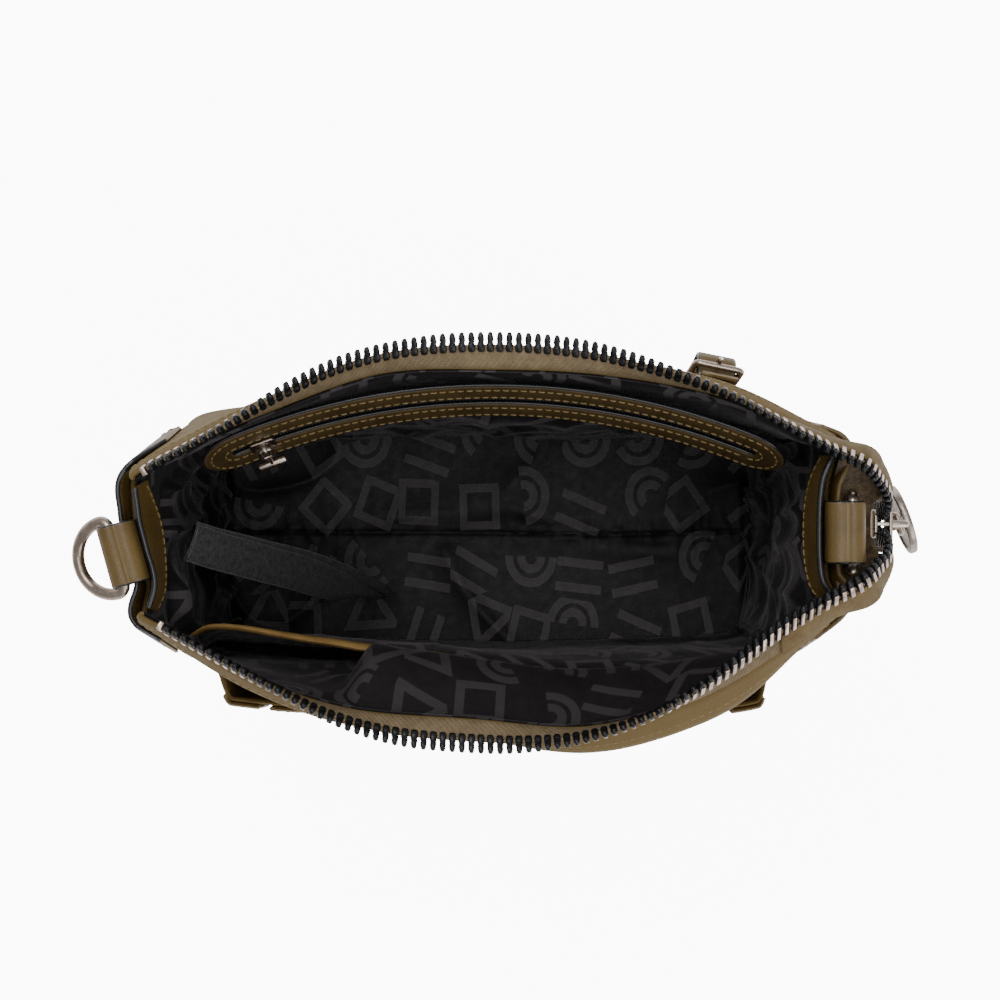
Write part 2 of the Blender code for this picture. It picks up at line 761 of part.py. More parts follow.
def plate_outline(wide, narrow, long):
    """A slider plate's outline: wide at the mouth, narrow at the tail, with cut corners."""
    cut = 1.6
    half, tail = 0.5 * wide, 0.5 * narrow
    return [
        (-half + cut, 0), (half - cut, 0), (half, -cut), (half, -0.45 * long), (tail, -long + cut),
        (tail - cut, -long), (-tail + cut, -long), (-tail, -long + cut), (-half, -0.45 * long), (-half, -cut),
    ]


def upright(shape):
    """Turns a prism drawn in plan so that it stands in the YZ plane, its height along X."""
    return place(shape, Matrix(((0, 0, 1, 0), (1, 0, 0, 0), (0, 1, 0, 0), (0, 0, 0, 1))))


def slider_shapes(wide, long, off, thick, neck):
    """Two plates and the neck of a zip slider, mouth up at z = 0, outer face towards +X."""
    outline_outer = plate_outline(wide, 0.8 * wide, long)
    outline_inner = plate_outline(0.75 * wide, 0.62 * wide, long)
    outer = upright(prism(outline_outer, off, off + thick))
    inner = upright(prism(outline_inner, -off - thick, -off))
    middle = box((-off - 0.4, -0.5 * neck, -NECK_LONG), (off + 0.4, 0.5 * neck, -0.2))
    return [outer, inner, middle]


def bail(off, reach, wide, top, low, bar):
    """The arch on a slider's outer plate, which holds the pull: three bars in the XZ plane."""
    half = 0.5 * wide
    return [
        box((off - 0.4, -half, top - bar), (reach, half, top)),
        box((off - 0.4, -half, low), (reach, half, low + bar)),
        box((reach - bar, -half, low + 0.3), (reach, half, top - 0.3)),
    ]


def main_slider():
    """The slider of the main zip, at the zip's fully open end."""
    shift = Matrix.Translation((TAIL_X, TAIL_Y, MOUTH_Z))
    outer_face = PLATE_OFF + PLATE_THICK
    shapes = slider_shapes(PLATE_WIDE, SLIDER_LONG, PLATE_OFF, PLATE_THICK, NECK)
    shapes += bail(outer_face, BAIL_REACH, BAIL_WIDE, -1.2, -8.0, 1.3)
    shapes = [place(shape, shift) for shape in shapes]
    combine("main_slider", shapes, "nickel", origin=(TAIL_X, TAIL_Y, MOUTH_Z))


def loop_path(half, drop, corner, count=4):
    """A rounded rectangle in the YZ plane with its top bar at z = 0."""
    spots = []
    side, low = half - corner, corner - drop
    for k, (y, z) in enumerate(((side, -corner), (-side, -corner), (-side, low), (side, low))):
        for i in range(count):
            turn = math.radians(90 * k + 90 * i / (count - 1))
            spots.append(Vector((0, y + corner * math.cos(turn), z + corner * math.sin(turn))))
    return spots


LINK_TOP = Vector((TAIL_X + LINK_X, TAIL_Y, MOUTH_Z - 5.4))


def main_pull():
    """The link through the slider's arch and the plain round disc hanging from it."""
    turn = Matrix.Translation(LINK_TOP) @ Matrix.Rotation(PULL_YAW, 4, "Z")
    link = sweep(loop_path(LINK_HALF, LINK_DROP, 1.2), LINK_WIRE, 8)
    add_object("main_pull_link", *place(link, turn), "nickel", origin=LINK_TOP)
    rim = [(DISC_R * math.cos(math.pi * k / 20), DISC_R * math.sin(math.pi * k / 20)) for k in range(40)]
    disc = upright(prism(rim, -0.5 * DISC_THICK, 0.5 * DISC_THICK))
    disc = place(disc, Matrix.Translation((DISC_OFF, 0, -DISC_DROP)))
    knuckle = sweep([Vector((0, y, 0)) for y in (-1.7, 0, 1.7)], 2.0, 12, closed=False)
    lug = box((0.4, -1.7, -3.6), (DISC_OFF - 0.2, 1.7, 1.2))
    hole = sweep([Vector((0, y, 0)) for y in (-4, 0, 4)], LINK_WIRE + GAP, 10, closed=False)
    drop = turn @ Matrix.Translation((0, 0, -LINK_DROP))
    shapes = [place(shape, drop) for shape in (disc, knuckle, lug)]
    origin = LINK_TOP - Vector((0, 0, LINK_DROP))
    combine("main_pull_disc", shapes, "nickel", cutters=[place(hole, drop)], origin=origin)


def ring_path():
    """A D-ring's centre line: straight bar along Y at x = 0, bow towards +X."""
    half = 0.5 * RING_WIDE
    spots = [Vector((0, y, 0)) for y in steps(-half + RING_CORNER, half - RING_CORNER, 6)]
    for i in range(1, 4):
        turn = math.radians(-90 + 90 * i / 3)
        y = half - RING_CORNER * (1 - math.cos(turn))
        spots.append(Vector((RING_CORNER * (1 + math.sin(turn)), y, 0)))
    bow = RING_DEEP - RING_CORNER
    for i in range(1, 16):
        turn = math.pi * i / 16
        spots.append(Vector((RING_CORNER + bow * math.sin(turn), half * math.cos(turn), 0)))
    mirrored = [Vector((p.x, -p.y, 0)) for p in reversed(spots[6:9])]
    return spots + mirrored


def tab_shape(tuck):
    """A leather loop's side outline in the XZ plane, bar at the origin, bag towards -X."""
    spots = []
    for i in range(15):
        turn = math.radians(125 - 250 * i / 14)
        spots.append((TAB_R * math.cos(turn), TAB_R * math.sin(turn)))
    low = [(-3.6, -2.6), (-tuck + TONGUE + 0.8, -2.4), (-tuck + TONGUE, -4.0), (-tuck + TONGUE, TAB_FLOOR)]
    high = [(-tuck, TAB_FLOOR), (-tuck, -1.5), (-tuck + 1.4, 1.6), (-4.2, 2.9)]
    return spots + low + high


def ring_and_tab(side, bar, yaw, tilt, tuck):
    """One D-ring with the leather loop that holds its bar and tucks down inside the end of the bag."""
    out = Matrix.Rotation(math.pi if side == "left" else 0.0, 4, "Z")
    frame = Matrix.Translation(bar) @ Matrix.Rotation(yaw, 4, "Z") @ out
    ring = sweep(ring_path(), RING_WIRE, 8)
    add_object(f"{side}_d_ring", *place(ring, frame @ Matrix.Rotation(tilt, 4, "Y")), "nickel", origin=bar)
    profile = tab_shape(tuck)
    half = 0.5 * TAB_WIDE
    verts = [(x, y, z) for y in (-half, half) for x, z in profile]
    count = len(profile)
    faces = [tuple(range(count)), tuple(range(count, 2 * count))]
    faces += [(i, (i + 1) % count, (i + 1) % count + count, i + count) for i in range(count)]
    hole = sweep([Vector((0, y, 0)) for y in (-half - 2, 0, half + 2)], TAB_HOLE, 14, closed=False)
    combine(f"{side}_ring_tab", [place((verts, faces), frame)], "leather", cutters=[place(hole, frame)])


def end_trims():
    """Leather patches round both ends, outside and inside, and the rings in their loops."""
    inner_off = -(LINING_INSET + LINING + 2 * GAP)
    for side, us_outer, us_inner in (
        ("left", stations(LEFT - 0.6, ROUND) + stations(ROUND, ROUND + 0.6)[1:], stations(20.4, 23.6)),
        ("right", stations(RIGHT - 0.6, BACK + 0.6), stations(8.4, 11.6)),
    ):
        outer_zs = heights(PATCH_LOW_Z, PATCH_TOP_Z)
        inner_zs = heights(133.0, PATCH_TOP_Z + 2)
        wall_sheet(f"{side}_end_patch", us_outer, outer_zs, lambda u, z: 2 * GAP + PATCH, PATCH, "leather")
        wall_sheet(f"{side}_inner_patch", us_inner, inner_zs, lambda u, z: inner_off, 1.2, "leather")
    ring_and_tab("left", LEFT_BAR, LEFT_YAW, LEFT_TILT, LEFT_TUCK)
    ring_and_tab("right", RIGHT_BAR, RIGHT_YAW, math.pi / 2, RIGHT_TUCK)


def on_arc(angle):
    """The frame of a slider on the pocket's arc: +X out into the bag, +Y along the zip, +Z up the slope."""
    tilt = math.atan(ARC_SLOPE)
    turn = math.radians(angle)
    radial = Vector((math.sin(turn), math.cos(turn), 0))
    out = -(radial * math.cos(tilt) - Vector((0, 0, math.sin(tilt))))
    up = radial * math.sin(tilt) + Vector((0, 0, math.cos(tilt)))
    along = up.cross(out)
    turned = Matrix((out, along, up)).transposed().to_4x4()
    return Matrix.Translation(arc_spot(angle, 0, 0)) @ turned


def inner_slider():
    """The zipped pocket's slider and its bar pull."""
    frame = on_arc(INNER_SLIDER_ANGLE)
    half_high, half_long = 3.2, 4.2
    plate = [(-half_long, -half_high + 0.8), (-half_long + 0.8, -half_high), (half_long - 0.8, -half_high),
             (half_long, -half_high + 0.8), (half_long, half_high - 0.8), (half_long - 0.8, half_high),
             (-half_long + 0.8, half_high), (-half_long, half_high - 0.8)]
    front = upright(prism(plate, 0.4, 1.4))
    neck = box((-0.8, -1.4, -0.55), (0.8, 1.4, 0.55))
    back_face = -FRAME_THICK - GAP - 1.0 - GAP
    back = box((back_face - 0.8, -3.4, -1.9), (back_face, 3.4, 1.9))
    post = box((back_face - 0.4, -1.4, -0.55), (0.8, 1.4, 0.55))
    arch = bail(1.0, 4.6, 1.8, 2.6, -2.6, 0.9)
    shapes = [place(shape, frame) for shape in (front, neck, back, post, *arch)]
    origin = frame.translation
    combine("inner_slider", shapes, "nickel", origin=origin)
    hang = frame @ Matrix.Translation((2.7, 0, -0.4))
    loop = sweep(loop_path(1.9, 5.4, 0.9, 3), 0.55, 6)
    stem = box((-0.8, -0.9, -11.0), (0.8, 0.9, -5.0))
    bar = sweep([Vector((0, y, -11.6)) for y in (-4.6, 0, 4.6)], 1.3, 10, closed=False)
    combine("inner_pull", [place(s, hang) for s in (loop, stem, bar)], "nickel", origin=hang.translation)


def strap_station():
    """The wall's station where the rear strap is sewn."""
    return next(u for u in steps(BACK, LEFT, 400) if wall(u, BUCKLE_BAR_Z).x < STRAP_X)


def strap_frame(u):
    """The rear strap's frame on the back wall: +X out from the wall, +Y across, +Z up."""
    spot = wall(u, BUCKLE_BAR_Z)
    lean = (wall(u, BUCKLE_BAR_Z + 10) - wall(u, BUCKLE_BAR_Z - 10)).normalized()
    across = outward(u, BUCKLE_BAR_Z)
    across = Vector((-across.y, across.x, 0))
    out = across.cross(lean).normalized()
    return Matrix.Translation(spot) @ Matrix((out, across, lean)).transposed().to_4x4()


def strip(path, wide, thick):
    """A flat strap along a side path of (out, up) points."""
    verts = []
    count = len(path)
    for side in (0.5, -0.5):
        for k, spot in enumerate(path):
            before = Vector(path[max(0, k - 1)])
            after = Vector(path[min(count - 1, k + 1)])
            along = (after - before).normalized()
            x, z = Vector(spot) + Vector((along.y, -along.x)) * side * thick
            verts += [(x, -0.5 * wide, z), (x, 0.5 * wide, z)]
    faces = [(0, 1, 2 * count + 1, 2 * count), (2 * count - 2, 2 * count - 1, 4 * count - 1, 4 * count - 2)]
    for k in range(count - 1):
        a, b = 2 * k, 2 * (k + count)
        faces += [(a, a + 1, a + 3, a + 2), (b, b + 1, b + 3, b + 2)]
        faces += [(a, a + 2, b + 2, b), (a + 1, a + 3, b + 3, b + 1)]
    return verts, faces


def hug(frame, u, out, up):
    """A strap point at a stand-off from the wall, in the strap's frame."""
    level = frame.inverted() @ wall(u, BUCKLE_BAR_Z + up)
    return (out + level.x, level.z)


def bar_line(out, half):
    """A straight line along the buckle's bar, in the strap's frame."""
    return [Vector((out, y, 0)) for y in (-half, 0, half)]


def rear_strap():
    """The small buckled strap on the back wall."""
    u = strap_station()
    frame = strap_frame(u)
    half = 0.5 * BUCKLE_WIDE
    bar_out = 4.6
    thick = STRAP_THICK
    sewn = [hug(frame, u, 2.1, up) for up in (-42, -32, -22, -12)]
    keeper = [place(strip(sewn + [(1.9, -6), (2.6, 0)], STRAP_WIDE, thick), frame)]
    eye = sweep(bar_line(bar_out, 0.5 * STRAP_WIDE), 3.3, 14, closed=False)
    keeper.append(place(eye, frame))
    hole = sweep(bar_line(bar_out, 10), BUCKLE_WIRE + 0.4, 12, closed=False)
    notch = box((bar_out - 2.9, -1.8, -4.5), (bar_out + 5, 1.8, 8))
    combine("rear_keeper", keeper, "leather", cutters=[place(hole, frame), place(notch, frame)])
    path = [hug(frame, u, 1.4, 18.0), hug(frame, u, 1.5, 13.5)]
    path += [(3.0, 9.8), (6.6, 7.6), (10.2, 5.0), (11.4, 0.5), (9.0, -5.5)]
    path += [hug(frame, u, 4.6, up) for up in (-12, -20, -30)]
    slot = box((-3, -1.8, -1.0), (14, 1.8, 9.4))
    band = place(strip(path, STRAP_WIDE, thick), frame)
    combine("rear_strap", [band], "leather", cutters=[place(slot, frame)])
    ring = sweep(loop_path(half, BUCKLE_HIGH, 1.7), BUCKLE_WIRE, 8)
    lean = Matrix.Translation((bar_out, 0, 0)) @ Matrix.Rotation(math.radians(9), 4, "Y")
    ring = place(place(ring, Matrix.Translation((0, 0, BUCKLE_HIGH))), lean)
    add_object("rear_buckle_frame", *place(ring, frame), "nickel", origin=frame @ Vector((bar_out, 0, 0)))
    return frame, bar_out


def rear_prong(frame, bar_out):
    """The buckle's prong, turning on the same bar as the frame."""
    wrap = sweep(bar_line(bar_out, 1.3), 2.5, 12, closed=False)
    hole = sweep(bar_line(bar_out, 4), BUCKLE_WIRE + GAP, 12, closed=False)
    bends = ((2.0, 0.6), (2.6, 4.0), (3.7, 8.0), (4.3, 12.4), (4.1, 15.0))
    path = [Vector((bar_out + x, 0, z)) for x, z in bends]
    tongue = sweep(path, 0.75, 8, closed=False)
    shapes = [place(s, frame) for s in (wrap, tongue)]
    origin = frame @ Vector((bar_out, 0, 0))
    combine("rear_buckle_prong", shapes, "nickel", cutters=[place(hole, frame)], origin=origin)


def key_ribbon():
    """A doubled ribbon sewn to the left lining, trailing down to the floor of the bag."""
    path = [Vector(p) for p in RIBBON_PATH]
    half, thick = 6.2, 1.4
    front = []
    back = []
    for k, spot in enumerate(path):
        along = (path[min(len(path) - 1, k + 1)] - path[max(0, k - 1)]).normalized()
        across = Vector((0.28, 0.96, 0)).cross(along).cross(along).normalized()
        up = across.cross(along).normalized()
        for grid, side in ((front, 0.5), (back, -0.5)):
            grid.append([spot + across * half * s + up * thick * side for s in (-1, 0, 1)])
    slab("key_ribbon", front, back, "ribbon")


def build():
    """Makes every part of the purse."""
    clear_scene()
    nylon_body()
    floor_pieces()
    lining()
    inner_pocket()
    slip_pocket()
    front_pocket()
    main_zip()
    end_tab()
    main_slider()
    main_pull()
    end_trims()
    inner_slider()
    frame, bar_out = rear_strap()
    rear_prong(frame, bar_out)
    key_ribbon()


build()
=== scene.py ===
import math

import bmesh
import bpy
import numpy as np
from mathutils import Matrix, Vector


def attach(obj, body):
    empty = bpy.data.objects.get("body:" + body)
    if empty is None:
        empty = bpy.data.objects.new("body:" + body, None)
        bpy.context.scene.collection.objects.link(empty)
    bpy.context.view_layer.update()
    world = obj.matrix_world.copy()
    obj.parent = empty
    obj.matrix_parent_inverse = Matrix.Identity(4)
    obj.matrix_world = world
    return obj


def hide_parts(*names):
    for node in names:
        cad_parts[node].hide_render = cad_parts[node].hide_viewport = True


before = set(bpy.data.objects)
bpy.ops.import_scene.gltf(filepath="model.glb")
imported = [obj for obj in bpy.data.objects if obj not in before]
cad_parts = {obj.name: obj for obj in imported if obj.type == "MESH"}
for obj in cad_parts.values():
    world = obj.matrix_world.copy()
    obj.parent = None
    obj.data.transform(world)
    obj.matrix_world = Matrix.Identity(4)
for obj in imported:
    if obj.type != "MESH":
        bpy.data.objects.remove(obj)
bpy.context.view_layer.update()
MM = 0.001

# ------------------------------------------------------------------ camera, light and floor
camera_data = bpy.data.cameras.new("camera")
camera_data.lens = 85
camera_data.sensor_width = 36
camera_data.clip_start = 0.01
camera = bpy.data.objects.new("camera", camera_data)
camera.location = (0.0049, 0.0125, 0.885)
bpy.context.collection.objects.link(camera)
bpy.context.scene.camera = camera


def area_light(name, spot, aim, size, power, colour=(1, 1, 1)):
    """A soft studio panel that faces a point."""
    data = bpy.data.lights.new(name, "AREA")
    data.shape = "DISK"
    data.size = size
    data.energy = power
    data.color = colour
    lamp = bpy.data.objects.new(name, data)
    lamp.location = spot
    lamp.rotation_euler = (Vector(aim) - Vector(spot)).to_track_quat("-Z", "Y").to_euler()
    bpy.context.collection.objects.link(lamp)


PURSE_MIDDLE = (0, 0, 0.1)
area_light("key", (-0.35, 0.75, 1.5), PURSE_MIDDLE, 0.9, 11)
area_light("top", (0.15, -0.1, 1.7), PURSE_MIDDLE, 0.9, 5)
area_light("fill", (0.9, -0.9, 0.9), PURSE_MIDDLE, 1.2, 8)
world = bpy.data.worlds.new("studio")
world.use_nodes = True
world.node_tree.nodes["Background"].inputs["Color"].default_value = (1, 1, 1, 1)
world.node_tree.nodes["Background"].inputs["Strength"].default_value = 0.46
bpy.context.scene.world = world


# ------------------------------------------------------------------ materials
def add(tree, kind, inputs=None, **props):
    """Adds one shader node; a socket given as an input is linked, a value is set."""
    made = tree.nodes.new("ShaderNode" + kind)
    for key, value in props.items():
        setattr(made, key, value)
    for key, value in (inputs or {}).items():
        if isinstance(value, bpy.types.NodeSocket):
            tree.links.new(value, made.inputs[key])
        else:
            made.inputs[key].default_value = value
    return made


def calc(tree, operation, first, second=0.0, third=0.0):
    return add(tree, "Math", {0: first, 1: second, 2: third}, operation=operation).outputs[0]


def ranged(tree, value, low, high, to_low=0.0, to_high=1.0):
    keys = {"Value": value, "From Min": low, "From Max": high, "To Min": to_low, "To Max": to_high}
    return add(tree, "MapRange", keys).outputs[0]


def blended(tree, factor, first, second):
    """Mixes two colours, each an RGB triple or a socket."""
    first, second = ((*c, 1.0) if isinstance(c, tuple) else c for c in (first, second))
    return add(tree, "Mix", {0: factor, 6: first, 7: second}, data_type="RGBA").outputs[2]


def height_map(tree, where, kind, period):
    """One kind of fine relief, from 0 to 1, with its repeat in metres."""
    if kind == "grain":
        keys = {"Vector": where, "Scale": 1 / period, "Smoothness": 0.6, "Randomness": 1.0}
        return add(tree, "TexVoronoi", keys, feature="SMOOTH_F1").outputs["Distance"]
    if kind == "crumple":
        return add(tree, "TexNoise", {"Vector": where, "Scale": 1 / period, "Detail": 4}).outputs["Fac"]
    bands = []
    for direction in ("X", "Y") if kind == "weave" else ("DIAGONAL",):
        scale = 0.31416 / period
        keys = {"Vector": where, "Scale": scale, "Distortion": 0.4, "Detail Scale": 0.5}
        wave = add(tree, "TexWave", keys, wave_type="BANDS", bands_direction=direction)
        bands.append(wave.outputs["Fac"])
    return calc(tree, "ADD", *bands) if kind == "weave" else bands[0]


def printed(tree, where):
    """A tossed geometric print: bars, diamonds, double arcs and triangles, as a mask."""
    at = add(tree, "Mapping", {"Vector": where, "Scale": (1 / 0.0205,) * 3}).outputs[0]
    cell = add(tree, "TexVoronoi", {"Vector": at, "Scale": 1.0, "Randomness": 0.5}, voronoi_dimensions="2D")
    local = add(tree, "VectorMath", {0: at, 1: cell.outputs["Position"]}, operation="SUBTRACT").outputs[0]
    chance = add(tree, "SeparateColor", {0: cell.outputs["Color"]})
    angle = calc(tree, "MULTIPLY", chance.outputs[0], 6.28)
    turned = add(tree, "VectorRotate", {"Vector": local, "Angle": angle}, rotation_type="Z_AXIS").outputs[0]
    axis = add(tree, "SeparateXYZ", {0: turned})
    x, y = axis.outputs[0], axis.outputs[1]
    wide, tall = calc(tree, "ABSOLUTE", x), calc(tree, "ABSOLUTE", y)
    radius = add(tree, "VectorMath", {0: turned}, operation="LENGTH").outputs["Value"]
    stroke = 0.072

    def line(value, centre):
        return calc(tree, "COMPARE", value, centre, stroke)

    bars = calc(tree, "MULTIPLY", line(wide, 0.2), calc(tree, "LESS_THAN", tall, 0.42))
    diamond = calc(tree, "COMPARE", calc(tree, "ADD", wide, tall), 0.42, stroke * 1.35)
    arcs = calc(tree, "MAXIMUM", line(radius, 0.18), line(radius, 0.4))
    arcs = calc(tree, "MULTIPLY", arcs, calc(tree, "GREATER_THAN", y, -0.02))
    slope = calc(tree, "ADD", calc(tree, "MULTIPLY", wide, 0.866), calc(tree, "MULTIPLY", y, 0.5))
    triangle = line(calc(tree, "MAXIMUM", slope, calc(tree, "MULTIPLY", y, -1.0)), 0.23)
    pick = calc(tree, "FLOOR", calc(tree, "MULTIPLY", chance.outputs[1], 3.999))
    mask = None
    for k, shape in enumerate((bars, diamond, arcs, triangle)):
        chosen = calc(tree, "MULTIPLY", calc(tree, "COMPARE", pick, float(k), 0.1), shape)
        mask = chosen if mask is None else calc(tree, "ADD", mask, chosen)
    return mask


def material(name, dark, light, rough, patch, relief=(), wear=None, uv=False, print_tone=None, **sockets):
    """A procedural finish: clouded colour and gloss, fine relief, worn edges and an optional print."""
    made = bpy.data.materials.new(name)
    made.use_nodes = True
    tree = made.node_tree
    shader = tree.nodes["Principled BSDF"]
    for key, value in sockets.items():
        shader.inputs[key.replace("_", " ")].default_value = value
    coords = add(tree, "TexCoord")
    where = coords.outputs["Object"]
    if uv:
        where = add(tree, "Mapping", {"Vector": coords.outputs["UV"], "Scale": (MM, MM, MM)}).outputs[0]
    clouds = add(tree, "TexNoise", {"Vector": where, "Scale": 1 / patch, "Detail": 6, "Roughness": 0.62})
    colour = blended(tree, ranged(tree, clouds.outputs["Fac"], 0.34, 0.66), dark, light)
    total = None
    for kind, period, weight in relief:
        level = calc(tree, "MULTIPLY", height_map(tree, where, kind, period), weight)
        total = level if total is None else calc(tree, "ADD", total, level)
        if kind in ("grain", "twill", "weave"):
            shade = ranged(tree, level, 0.0, weight, 0.0, 0.32)
            colour = blended(tree, shade, colour, dark)
    if print_tone:
        mask = printed(tree, where)
        colour = blended(tree, mask, colour, print_tone)
    if wear:
        edge = add(tree, "NewGeometry").outputs["Pointiness"]
        colour = blended(tree, ranged(tree, edge, *wear[1]), colour, wear[0])
    tree.links.new(colour, shader.inputs["Base Color"])
    gloss = add(tree, "TexNoise", {"Vector": where, "Scale": 3 / patch, "Detail": 3})
    tree.links.new(ranged(tree, gloss.outputs["Fac"], 0.3, 0.7, *rough), shader.inputs["Roughness"])
    if total is not None:
        bump = add(tree, "Bump", {"Height": total, "Strength": 1.0, "Distance": MM})
        tree.links.new(bump.outputs[0], shader.inputs["Normal"])
    return made


NYLON = material(
    "nylon", (0.152, 0.102, 0.037), (0.184, 0.127, 0.050), (0.55, 0.68), 0.03,
    [("weave", 0.0005, 0.03), ("crumple", 0.006, 0.25)], uv=True, Specular_IOR_Level=0.14,
)
LEATHER = material(
    "leather", (0.098, 0.059, 0.013), (0.150, 0.095, 0.026), (0.36, 0.48), 0.016,
    [("grain", 0.0007, 0.05), ("crumple", 0.003, 0.12)], ((0.20, 0.14, 0.06), (0.53, 0.62)),
)
WING = material(
    "pebbled_leather", (0.125, 0.080, 0.028), (0.200, 0.140, 0.062), (0.55, 0.7), 0.006,
    [("grain", 0.0010, 0.16), ("crumple", 0.002, 0.2)], Specular_IOR_Level=0.3,
)
SUEDE = material(
    "suede", (0.045, 0.026, 0.010), (0.16, 0.105, 0.05), (0.85, 0.95), 0.0022, [("crumple", 0.0012, 0.3)],
    Sheen_Weight=0.4,
)
POCKET_LEATHER = material(
    "pocket_leather", (0.048, 0.030, 0.010), (0.088, 0.056, 0.022), (0.3, 0.42), 0.01,
    [("grain", 0.0006, 0.05), ("crumple", 0.003, 0.15)], ((0.16, 0.11, 0.05), (0.53, 0.62)),
)
BINDING = material(
    "binding", (0.20, 0.115, 0.034), (0.32, 0.20, 0.07), (0.4, 0.5), 0.006, [("grain", 0.0007, 0.06)],
)
EDGE_PAINT = material(
    "edge_paint", (0.010, 0.010, 0.012), (0.020, 0.020, 0.024), (0.22, 0.34), 0.01,
    [("crumple", 0.002, 0.1)], Coat_Weight=0.3,
)
TAPE = material(
    "tape", (0.150, 0.104, 0.052), (0.270, 0.200, 0.115), (0.7, 0.85), 0.004,
    [("twill", 0.0009, 0.14), ("weave", 0.0005, 0.05)], uv=True,
)
COIL_TAPE = material(
    "coil_tape", (0.010, 0.010, 0.011), (0.022, 0.021, 0.023), (0.6, 0.75), 0.004,
    [("twill", 0.0008, 0.1)], uv=True,
)
COIL = material("coil", (0.016, 0.016, 0.018), (0.04, 0.04, 0.045), (0.28, 0.4), 0.003)


def lining_cloth(name, print_tone, sheen):
    return material(
        name, (0.0115, 0.0098, 0.0108), (0.0180, 0.0158, 0.0172), (0.42, 0.56), 0.01,
        [("weave", 0.0005, 0.02), ("crumple", 0.006, 0.35)], uv=True, print_tone=print_tone,
        Specular_IOR_Level=0.25, Sheen_Weight=sheen, Sheen_Roughness=0.35,
        Sheen_Tint=(0.55, 0.52, 0.55, 1.0),
    )


LINING = lining_cloth("lining", (0.071, 0.064, 0.068), 0.22)
# The front wall's lining is a darker copy of the same lining, with its print and sheen turned down: painted
# shade on the front wall's overhang inside the bag.
SHADED_FRONT_LINING = lining_cloth("front_lining_painted_shade", (0.044, 0.039, 0.042), 0.14)
RIBBON = material(
    "ribbon", (0.016, 0.015, 0.016), (0.085, 0.080, 0.084), (0.32, 0.5), 0.0018,
    [("weave", 0.0006, 0.06), ("crumple", 0.0012, 0.25)], uv=True, Sheen_Weight=0.12,
)
RIBBON_EDGE = material("ribbon_edge", (0.06, 0.057, 0.06), (0.14, 0.135, 0.14), (0.4, 0.5), 0.001)
THREAD = material("thread", (0.17, 0.115, 0.035), (0.32, 0.23, 0.09), (0.45, 0.6), 0.001)
NICKEL = material(
    "nickel", (0.28, 0.225, 0.18), (0.44, 0.365, 0.30), (0.22, 0.36), 0.003,
    [("crumple", 0.0016, 0.05)], ((0.62, 0.54, 0.46), (0.52, 0.58)), Metallic=1.0,
)
WORN_NICKEL = material(
    "worn_nickel", (0.17, 0.14, 0.12), (0.33, 0.28, 0.245), (0.24, 0.4), 0.0035,
    [("crumple", 0.0020, 0.07)], ((0.55, 0.49, 0.43), (0.52, 0.58)), Metallic=1.0,
)
TOOTH_DARK = material(
    "tooth_head", (0.012, 0.012, 0.014), (0.030, 0.030, 0.034), (0.3, 0.42), 0.003, Metallic=0.6,
)
TOOTH_BRIGHT = material(
    "tooth_clamp", (0.38, 0.29, 0.25), (0.66, 0.53, 0.47), (0.2, 0.34), 0.002, Metallic=1.0,
)
BOARD = material(
    "board", (0.15, 0.14, 0.125), (0.24, 0.22, 0.2), (0.85, 0.95), 0.004, [("crumple", 0.001, 0.1)],
)


def stage_floor():
    """A pale floor, lit a little from itself like a light table."""
    mesh = bpy.data.meshes.new("floor")
    half, drop = 3.0, -0.0004
    corners = [(x * half, y * half, drop) for x, y in ((-1, -1), (1, -1), (1, 1), (-1, 1))]
    mesh.from_pydata(corners, [], [(0, 1, 2, 3)])
    made = bpy.data.materials.new("floor")
    made.use_nodes = True
    shader = made.node_tree.nodes["Principled BSDF"]
    shader.inputs["Base Color"].default_value = (0.86, 0.86, 0.86, 1)
    shader.inputs["Roughness"].default_value = 0.9
    shader.inputs["Emission Color"].default_value = (1, 1, 1, 1)
    seen = add(made.node_tree, "LightPath").outputs["Is Camera Ray"]
    glow = ranged(made.node_tree, seen, 0, 1, 0.7, 10)  # thrown on the purse, and seen directly
    made.node_tree.links.new(glow, shader.inputs["Emission Strength"])
    mesh.materials.append(made)
    floor = bpy.data.objects.new("floor", mesh)
    bpy.context.collection.objects.link(floor)


stage_floor()


# ------------------------------------------------------------------ mesh makers, in millimetres
def finish_piece(name, mesh, nodes, body):
    """Links a mesh as a piece that rides on a body and stands for CAD nodes."""
    made = bpy.data.objects.new(name, mesh)
    bpy.context.collection.objects.link(made)
    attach(made, body)
    if nodes:
        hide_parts(*nodes)
    return made


def shade(mesh, angle=38):
    mesh.shade_smooth()
    mesh.set_sharp_from_angle(angle=math.radians(angle))


def solid(name, parts, nodes=(), body="bag", sharp=38):
    """One piece made of closed shapes: (verts, faces), material and bevel width for each."""
    whole = bmesh.new()
    mesh = bpy.data.meshes.new(name)
    for (verts, faces), finish, bevel in parts:
        work = bmesh.new()
        spots = [work.verts.new(Vector(v) * MM) for v in verts]
        for face in faces:
            work.faces.new([spots[i] for i in face])
        bmesh.ops.recalc_face_normals(work, faces=work.faces)
        if bevel:
            hard = [e for e in work.edges if e.calc_face_angle(0) > 0.5]
            bmesh.ops.bevel(work, geom=hard, offset=bevel * MM, segments=3, profile=0.5, affect="EDGES")
        if finish.name not in mesh.materials:
            mesh.materials.append(finish)
        for face in work.faces:
            face.material_index = mesh.materials.find(finish.name)
        step = bpy.data.meshes.new("step")
        work.to_mesh(step)
        work.free()
        whole.from_mesh(step)
        bpy.data.meshes.remove(step)
    whole.to_mesh(mesh)
    whole.free()
    shade(mesh, sharp)
    return finish_piece(name, mesh, nodes, body)


def normals_of(grid):
    """Unit normals of a grid of points, from its own slopes."""
    normal = np.cross(np.gradient(grid, axis=1), np.gradient(grid, axis=0))
    return normal / np.maximum(np.linalg.norm(normal, axis=-1, keepdims=True), 1e-9)


